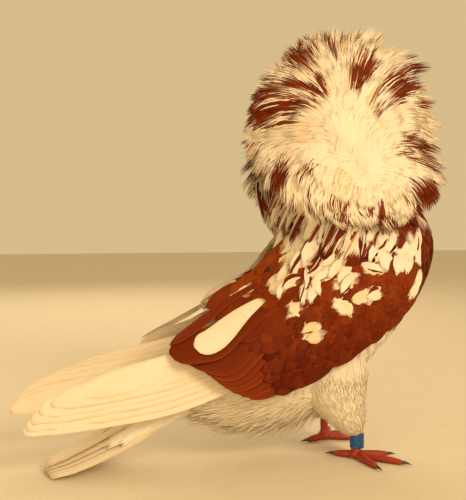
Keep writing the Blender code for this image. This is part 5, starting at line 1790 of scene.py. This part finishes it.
def plain_finish(name, colour, roughness, specular, coat_weight, relief, mottle=(400.0, 0.25)):
    """A skin or horn finish: one colour broken up by soft mottling, with fine relief.

    relief is its kind, scale and strength, and mottle its scale and how far it goes from the
    colour.
    """
    found = bpy.data.materials.get(name)
    if found:
        return found
    finish, tree, shader = new_finish(name)
    place = node(tree, "ShaderNodeTexCoord").outputs["Object"]
    scale, spread = mottle
    noise = node(
        tree, "ShaderNodeTexNoise", {"Scale": scale, "Detail": 3.0}, {"Vector": place},
    )
    darker = tuple(c * (1.0 - spread) for c in colour)
    lighter = tuple(min(c * (1.0 + spread * 0.6), 1.0) for c in colour)
    shade = node(
        tree, "ShaderNodeValToRGB", links={0: noise.outputs[0]}, stops=((0.0, darker), (1.0, lighter)),
    )
    tree.links.new(shade.outputs[0], shader.inputs["Base Color"])
    shader.inputs["Roughness"].default_value = roughness
    shader.inputs["Specular IOR Level"].default_value = specular
    shader.inputs["Coat Weight"].default_value = coat_weight
    shader.inputs["Coat Roughness"].default_value = 0.08
    kind, size, strength = relief
    if kind == "cells":
        height = node(tree, "ShaderNodeTexVoronoi", {"Scale": size}, {"Vector": place})
    else:
        height = node(
            tree, "ShaderNodeTexNoise", {"Scale": size, "Detail": 2.0}, {"Vector": place},
        )
    bumped = node(
        tree, "ShaderNodeBump", {"Strength": strength, "Distance": 0.0003},
        {"Height": height.outputs[0]},
    )
    tree.links.new(bumped.outputs[0], shader.inputs["Normal"])
    return finish


def turned_out(bm, verts, side):
    """Turn what is built round +Z so that it points out of the eye socket."""
    outward = sided(EYE_OUTWARD, side)
    turn = Vector((0.0, 0.0, 1.0)).rotation_difference(outward).to_matrix()
    bmesh.ops.rotate(bm, verts=verts, matrix=turn)
    bmesh.ops.translate(bm, vec=sided(EYE_MIDDLE, side), verts=verts)


def add_eyeball(label, side):
    """Glossy pearl eye with a dark pupil."""
    # The wet cornea gives the pupil a hard bright glint on near black
    pupil = plain_finish("eye_pupil", hex_colour("#080608"), 0.05, 0.6, 1.0, ("noise", 50.0, 0.0))
    # The pearl iris has fine pale fibres under the same wet gloss
    iris = plain_finish(
        "eye_pearl", hex_colour("#C9C6BD"), 0.12, 0.6, 1.0, ("noise", 3000.0, 0.05), (2600.0, 0.35)
    )
    # The ball is dark brown where it meets the lids, a painted shade that makes a soft dark line
    # inside them, under a moist gloss
    rim = plain_finish("eye_rim_shade", hex_colour("#3A2A26"), 0.2, 0.5, 0.8, ("noise", 50.0, 0.0))
    bm = bmesh.new()
    verts = bmesh.ops.create_uvsphere(bm, u_segments=40, v_segments=30, radius=EYE_RADIUS)["verts"]
    for face in bm.faces:
        polar = math.acos(max(-1.0, min(1.0, face.calc_center_median().z / EYE_RADIUS)))
        face.material_index = 0 if polar < PUPIL_ANGLE else (1 if polar < IRIS_ANGLE else 2)
    turned_out(bm, verts, side)
    eye = mesh_piece("eyeball_" + label, bm, pupil)
    eye.data.materials.append(iris)
    eye.data.materials.append(rim)
    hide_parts("eye_" + label)
    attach(eye, BODY)


def add_lids(label, side):
    """The bare ring of lid round an eye, in three rolls."""
    # Bare lid skin has a chalky, fleshy look with fine folds round the eye
    skin = plain_finish(
        "lid_skin", hex_colour("#D9C3B4"), 0.6, 0.35, 0.0, ("cells", 1500.0, 0.35), (700.0, 0.2)
    )
    bm = bmesh.new()
    for out, height, size in LID_ROLLS:
        start = bmesh.ops.create_circle(bm, segments=10, radius=size, cap_ends=False)["verts"]
        bmesh.ops.rotate(bm, verts=start, matrix=Matrix.Rotation(math.radians(90), 3, "X"))
        bmesh.ops.translate(bm, verts=start, vec=(out * EYE_RADIUS, 0.0, height * EYE_RADIUS))
        edges = list({edge for vert in start for edge in vert.link_edges})
        bmesh.ops.spin(
            bm, geom=start + edges, cent=(0, 0, 0), axis=(0, 0, 1), angle=math.tau,
            steps=40, use_merge=True, use_duplicate=False,
        )
    bmesh.ops.remove_doubles(bm, verts=bm.verts, dist=1e-7)
    for vert in bm.verts:
        # The lids pinch the opening a little, so that it is an oval
        vert.co.x *= LID_OVAL[0]
        vert.co.y *= LID_OVAL[1]
    turned_out(bm, bm.verts[:], side)
    lids = mesh_piece("lids_" + label, bm, skin)
    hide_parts("head")
    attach(lids, BODY)


def tube_rings(middles, rights, uppers, sides):
    """Rings of points with given half widths across and up."""
    angles = np.arange(sides) / sides * math.tau
    middles = np.asarray(middles, float)
    along = unit(np.gradient(middles, axis=0))
    across = unit(np.cross(along, np.array((0.0, 0.0, 1.0))))
    raised = np.cross(across, along)
    return (
        middles[:, None, :]
        + across[:, None, :] * (np.asarray(rights)[:, None] * np.cos(angles))[..., None]
        + raised[:, None, :] * (np.asarray(uppers)[:, None] * np.sin(angles))[..., None]
    )


def add_bill():
    """Short smooth bill with a down-turned tip and a mouth line."""
    # Thin pale horn, worn smooth by use, takes a soft broad shine
    horn = plain_finish(
        "bill_horn", hex_colour("#D8B59A"), 0.35, 0.5, 0.25, ("noise", 1200.0, 0.12), (250.0, 0.22)
    )
    t = even(BILL_ROWS)
    taper = (1.0 - 0.22 * t) * np.sqrt(np.maximum(1.0 - t ** 3.2, 0.004))
    angles = np.linspace(0.0, math.pi, BILL_POINTS)
    root, tip = np.array(BILL_ROOT), np.array(BILL_TIP)
    for name, rises, depth, cad in (
        ("bill_top", 1.0, BILL_UPPER_DEPTH, "bill_upper"),
        ("bill_base", -1.0, BILL_LOWER_DEPTH, "bill_lower"),
    ):
        reach = t if rises > 0 else t * BILL_LOWER_REACH
        middles = root + (tip - root) * reach[:, None]
        middles[:, 2] -= BILL_DROOP * reach ** 3
        if rises > 0:
            middles[:, 2] -= BILL_HOOK * smooth(t, 0.75, 1.0)
        bm = bmesh.new()
        rows = []
        for middle, share in zip(middles, taper):
            arch = np.stack([
                np.zeros(BILL_POINTS), BILL_HALF_WIDTH * share * np.cos(angles),
                rises * (depth * share * np.sin(angles) ** 0.85 + MOUTH_GAP),
            ], axis=-1)
            rows.append(middle + arch)
        bridge_rings(bm, rows)
        if rises > 0:
            # The nostril is a slit under the edge of the cere
            for side in (-1, 1):
                spot = BILL_ROOT + Vector((NOSTRIL[0], side * NOSTRIL[1], NOSTRIL[2]))
                near = [v for v in bm.verts if (v.co - spot).length < NOSTRIL_RADIUS]
                for vert in near:
                    vert.co.y -= side * NOSTRIL_DEPTH
        piece = mesh_piece(name, bm, horn)
        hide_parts(cad)
        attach(piece, BODY)


def add_cere():
    """The two soft lobes at the bill's root."""
    # Skin under a bloom of feather powder is chalk dull, with a fine wrinkled grain
    powder = plain_finish(
        "cere_powder", hex_colour("#E6DCD2"), 0.85, 0.2, 0.0, ("cells", 1300.0, 0.45), (500.0, 0.15)
    )
    bm = bmesh.new()
    for side in (-1, 1):
        verts = bmesh.ops.create_uvsphere(bm, u_segments=24, v_segments=16, radius=1.0)["verts"]
        for vert in verts:
            vert.co *= 1.0 + 0.05 * math.sin(vert.co.x * 7 + side) + 0.04 * math.sin(vert.co.z * 9)
        bmesh.ops.scale(bm, vec=CERE_HALF, verts=verts)
        bmesh.ops.rotate(bm, verts=verts, matrix=Matrix.Rotation(CERE_TILT, 3, "Y"))
        spot = BILL_ROOT + Vector((CERE_LOBE[0], side * CERE_LOBE[1], CERE_LOBE[2]))
        bmesh.ops.translate(bm, vec=spot, verts=verts)
    piece = mesh_piece("cere_lobes", bm, powder)
    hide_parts("cere")
    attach(piece, BODY)


def add_toe(feet, claws, hub, angle, length):
    """A toe with scutes across its top, and its claw, into the two meshes."""
    forward = np.array((math.cos(angle), math.sin(angle), 0.0))
    shares = even(TOE_ROWS)
    middles = hub + forward * (length * shares)[:, None]
    middles[:, 2] = line_at(TOE_HEIGHTS, shares)
    # Scutes: each ring of scale stands a little proud of the next
    ridge = np.abs(np.sin(shares * length / SCUTE_LENGTH * math.pi)) ** 0.5
    end = np.sqrt(np.clip((1.0 - shares) / 0.06, 0.05, 1.0))
    size = (line_at(TOE_RADII, shares) + SCUTE_RISE * (ridge - 0.6)) * end
    rows = tube_rings(middles, size, size * 0.98, 14)
    rows[..., 2] = np.maximum(rows[..., 2], TOE_GAP)
    bridge_rings(feet, rows)
    start = middles[-3]
    shares = even(12)
    middles = start + forward * (CLAW_LENGTH * shares)[:, None]
    middles[:, 2] = start[2] + 0.0004 * np.sin(shares * 2.2) - 0.0011 * shares ** 2.5
    size = np.maximum(CLAW_RADIUS * (1.0 - shares ** 1.6), CLAW_TIP_RADIUS)
    rows = tube_rings(middles, size, size * 1.15, 10)
    rows[..., 2] = np.maximum(rows[..., 2], CLAW_GAP)
    bridge_rings(claws, rows)


def add_foot(label, side):
    """Bare scaly shank and toes on a round pad, with claws."""
    settings = bpy.context.scene.pigeon
    # Horny scales over red skin: raised cells that catch light at their edges, a dull gloss
    scaly = plain_finish(
        "foot_scales", tuple(settings.leg), 0.48, 0.45, 0.1, ("cells", 1100.0, 0.55), (350.0, 0.35)
    )
    # Solid dark horn, worn smooth, with a narrow brighter shine
    horn = plain_finish(
        "claw_horn", hex_colour("#4A3A2E"), 0.32, 0.5, 0.3, ("noise", 1400.0, 0.15), (500.0, 0.3)
    )
    hub = np.array((*HUBS[label], 0.0))
    feet = bmesh.new()
    claws = bmesh.new()
    for turn, length in TOES.values():
        add_toe(feet, claws, hub, HEADINGS[label] + side * math.radians(turn), length)
    shares = even(SHANK_ROWS)
    low, high = 0.0030, SHANK_TOP + 0.003
    middles = hub + np.stack([-0.0005 * shares, 0 * shares, low + (high - low) * shares], axis=-1)
    angles = np.arange(SHANK_POINTS) / SHANK_POINTS * math.tau
    size = SHANK_RADIUS + 0.0016 * (1.0 - smooth(shares, 0.0, 0.3)) + 0.0003 * smooth(shares, 0.7, 1.0)
    size = size + 0.00014 * np.abs(np.sin(shares * 9 * math.pi)) ** 0.5
    bridge_rings(feet, middles[:, None, :] + np.stack([
        size[:, None] * np.cos(angles), size[:, None] * np.sin(angles),
        np.zeros((SHANK_ROWS, SHANK_POINTS)),
    ], axis=-1))
    pad = bmesh.ops.create_uvsphere(feet, u_segments=20, v_segments=12, radius=1.0)["verts"]
    bmesh.ops.scale(feet, vec=PAD_HALF, verts=pad)
    bmesh.ops.translate(feet, vec=(hub[0], hub[1], PAD_HEIGHT), verts=pad)
    piece = mesh_piece("toes_" + label, feet, scaly)
    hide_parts("foot_" + label, "shank_" + label)
    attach(piece, BODY)
    piece = mesh_piece("claws_" + label, claws, horn)
    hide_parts(*[f"claw_{label}_{name}" for name in TOES])
    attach(piece, BODY)


def finish_ring():
    """Anodised aluminium band: blue, even, with soft gloss and fine turning lines."""
    finish, tree, shader = new_finish("anodised_ring")
    place = node(tree, "ShaderNodeTexCoord").outputs["Object"]
    lines = node(
        tree, "ShaderNodeTexWave", {"Scale": 900.0, "Distortion": 0.3}, {"Vector": place},
        bands_direction="Z",
    )
    scuffs = node(tree, "ShaderNodeTexNoise", {"Scale": 700.0, "Detail": 3.0}, {"Vector": place})
    # Paler where the dye is rubbed thin
    worn = node(
        tree, "ShaderNodeMapRange", {"From Min": 0.60, "From Max": 0.75}, {0: scuffs.outputs[0]},
    )
    colour = node(tree, "ShaderNodeValToRGB", links={0: worn.outputs[0]}, stops=(
        (0.0, hex_colour("#2F5FA8")), (1.0, hex_colour("#6E93C4")),
    ))
    tree.links.new(colour.outputs[0], shader.inputs["Base Color"])
    shader.inputs["Metallic"].default_value = 0.7
    shader.inputs["Roughness"].default_value = 0.34
    bump = node(
        tree, "ShaderNodeBump", {"Strength": 0.1, "Distance": 0.0001}, {"Height": lines.outputs[0]},
    )
    tree.links.new(bump.outputs[0], shader.inputs["Normal"])
    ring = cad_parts["leg_ring"]
    for slot in ring.material_slots:
        slot.material = finish


# Stage


def add_camera():
    """The camera, level with the wing and a little behind it on the right."""
    data = bpy.data.cameras.new("camera")
    data.lens = CAMERA_LENS
    data.sensor_width = 36.0
    data.sensor_fit = "AUTO"
    data.clip_start = 0.01
    camera = placed("camera", data)
    camera.location = CAMERA_PLACE + PLACE
    camera.rotation_euler = (math.radians(90) - CAMERA_PITCH, 0.0, -CAMERA_YAW)
    bpy.context.scene.camera = camera


def add_floor():
    """A plain pale floor."""
    bm = bmesh.new()
    bmesh.ops.create_grid(bm, x_segments=1, y_segments=1, size=FLOOR_HALF)
    mesh = bpy.data.meshes.new("floor")
    bm.to_mesh(mesh)
    bm.free()
    floor = placed("floor", mesh)
    # Painted board, matt and faintly uneven, so that it throws back soft warm light
    finish, tree, shader = new_finish("studio_floor")
    place = node(tree, "ShaderNodeTexCoord").outputs["Object"]
    grain = node(tree, "ShaderNodeTexNoise", {"Scale": 60.0, "Detail": 4.0}, {"Vector": place})
    shade = node(tree, "ShaderNodeValToRGB", links={0: grain.outputs[0]}, stops=(
        (0.0, hex_colour("#DCD2BE")), (1.0, hex_colour("#E4DBC8")),
    ))
    tree.links.new(shade.outputs[0], shader.inputs["Base Color"])
    shader.inputs["Roughness"].default_value = 0.8
    mesh.materials.append(finish)


def add_lamps():
    """A warm even room, and three round lamps that face the bird."""
    scene = bpy.context.scene
    scene.view_settings.view_transform = "Standard"
    world = bpy.data.worlds.new("soft_room")
    world.use_nodes = True
    back = world.node_tree.nodes["Background"]
    back.inputs["Color"].default_value = (*hex_colour(ROOM_COLOUR), 1.0)
    back.inputs["Strength"].default_value = ROOM_STRENGTH
    scene.world = world
    target = PLACE + LAMP_TARGET
    for name, spot, size, power, colour in LAMPS:
        lamp = bpy.data.lights.new(name, "AREA")
        lamp.shape = "DISK"
        lamp.size = size
        lamp.energy = power
        lamp.color = hex_colour(colour)
        light = placed(name, lamp)
        light.location = PLACE + Vector(spot)
        light.rotation_euler = (target - light.location).to_track_quat("-Z", "Y").to_euler()


# Operators and panel


class PIGEON_OT_stage(bpy.types.Operator):
    """Add the floor, the lights and the camera"""
    bl_idname = "pigeon.stage"
    bl_label = "Stage"

    def execute(self, context):
        add_camera()
        add_floor()
        add_lamps()
        return {"FINISHED"}


class PIGEON_OT_skin(bpy.types.Operator):
    """Add the skin that lies under the feathers"""
    bl_idname = "pigeon.skin"
    bl_label = "Skin"

    def execute(self, context):
        add_skin()
        return {"FINISHED"}


class PIGEON_OT_hood(bpy.types.Operator):
    """Add both sides of the hood and the mane below it, lock by lock"""
    bl_idname = "pigeon.hood"
    bl_label = "Hood"

    def execute(self, context):
        settings = context.scene.pigeon
        for label, side in SIDES:
            add_hood_shell(label, side)
            add_hood(label, side, settings.hood_density, settings.lock_width)
            add_mane(label, side)
        return {"FINISHED"}


class PIGEON_OT_body_feathers(bpy.types.Operator):
    """Add the feathers of trunk, neck and head, and the down below"""
    bl_idname = "pigeon.body_feathers"
    bl_label = "Body feathers"

    def execute(self, context):
        settings = context.scene.pigeon
        add_body_feathers(settings.body_density)
        add_down(settings.down_tufts)
        add_head_feathers()
        add_throat_feathers()
        return {"FINISHED"}


class PIGEON_OT_wings(bpy.types.Operator):
    """Add the coverts and flight feathers of both wings"""
    bl_idname = "pigeon.wings"
    bl_label = "Wings"

    def execute(self, context):
        settings = context.scene.pigeon
        for label, side in SIDES:
            add_coverts(label, side, settings.coverts)
            add_wing_skin(label, side)
            add_fleck_feathers(label, side)
            add_secondaries(label, side)
            add_primaries(label, side)
        return {"FINISHED"}


class PIGEON_OT_tail(bpy.types.Operator):
    """Add the tail feathers and their coverts"""
    bl_idname = "pigeon.tail"
    bl_label = "Tail"

    def execute(self, context):
        add_tail_feathers()
        add_tail_coverts()
        return {"FINISHED"}


class PIGEON_OT_face(bpy.types.Operator):
    """Add eyes, lids, bill and cere"""
    bl_idname = "pigeon.face"
    bl_label = "Face"

    def execute(self, context):
        for label, side in SIDES:
            add_eyeball(label, side)
            add_lids(label, side)
        add_bill()
        add_cere()
        return {"FINISHED"}


class PIGEON_OT_feet(bpy.types.Operator):
    """Add the feet and claws, and finish the leg ring"""
    bl_idname = "pigeon.feet"
    bl_label = "Feet"

    def execute(self, context):
        for label, side in SIDES:
            add_foot(label, side)
        finish_ring()
        return {"FINISHED"}


OPERATORS = (
    PIGEON_OT_stage, PIGEON_OT_skin, PIGEON_OT_hood, PIGEON_OT_body_feathers,
    PIGEON_OT_wings, PIGEON_OT_tail, PIGEON_OT_face, PIGEON_OT_feet,
)


class PIGEON_PT_panel(bpy.types.Panel):
    bl_idname = "PIGEON_PT_panel"
    bl_label = "Jacobin pigeon"
    bl_space_type = "VIEW_3D"
    bl_region_type = "UI"
    bl_category = "Pigeon"

    def draw(self, context):
        for name in PigeonSettings.__annotations__:
            self.layout.prop(context.scene.pigeon, name)
        for operator in OPERATORS:
            self.layout.operator(operator.bl_idname)


CLASSES = (PigeonSettings, *OPERATORS, PIGEON_PT_panel)


def register():
    for item in CLASSES:
        bpy.utils.register_class(item)
    bpy.types.Scene.pigeon = PointerProperty(type=PigeonSettings)


def unregister():
    del bpy.types.Scene.pigeon
    for item in reversed(CLASSES):
        bpy.utils.unregister_class(item)


def main():
    """Build every part in order."""
    register()
    bpy.ops.pigeon.stage()
    bpy.ops.pigeon.skin()
    bpy.ops.pigeon.hood()
    bpy.ops.pigeon.body_feathers()
    bpy.ops.pigeon.wings()
    bpy.ops.pigeon.tail()
    bpy.ops.pigeon.face()
    bpy.ops.pigeon.feet()


if __name__ == "__main__":
    main()
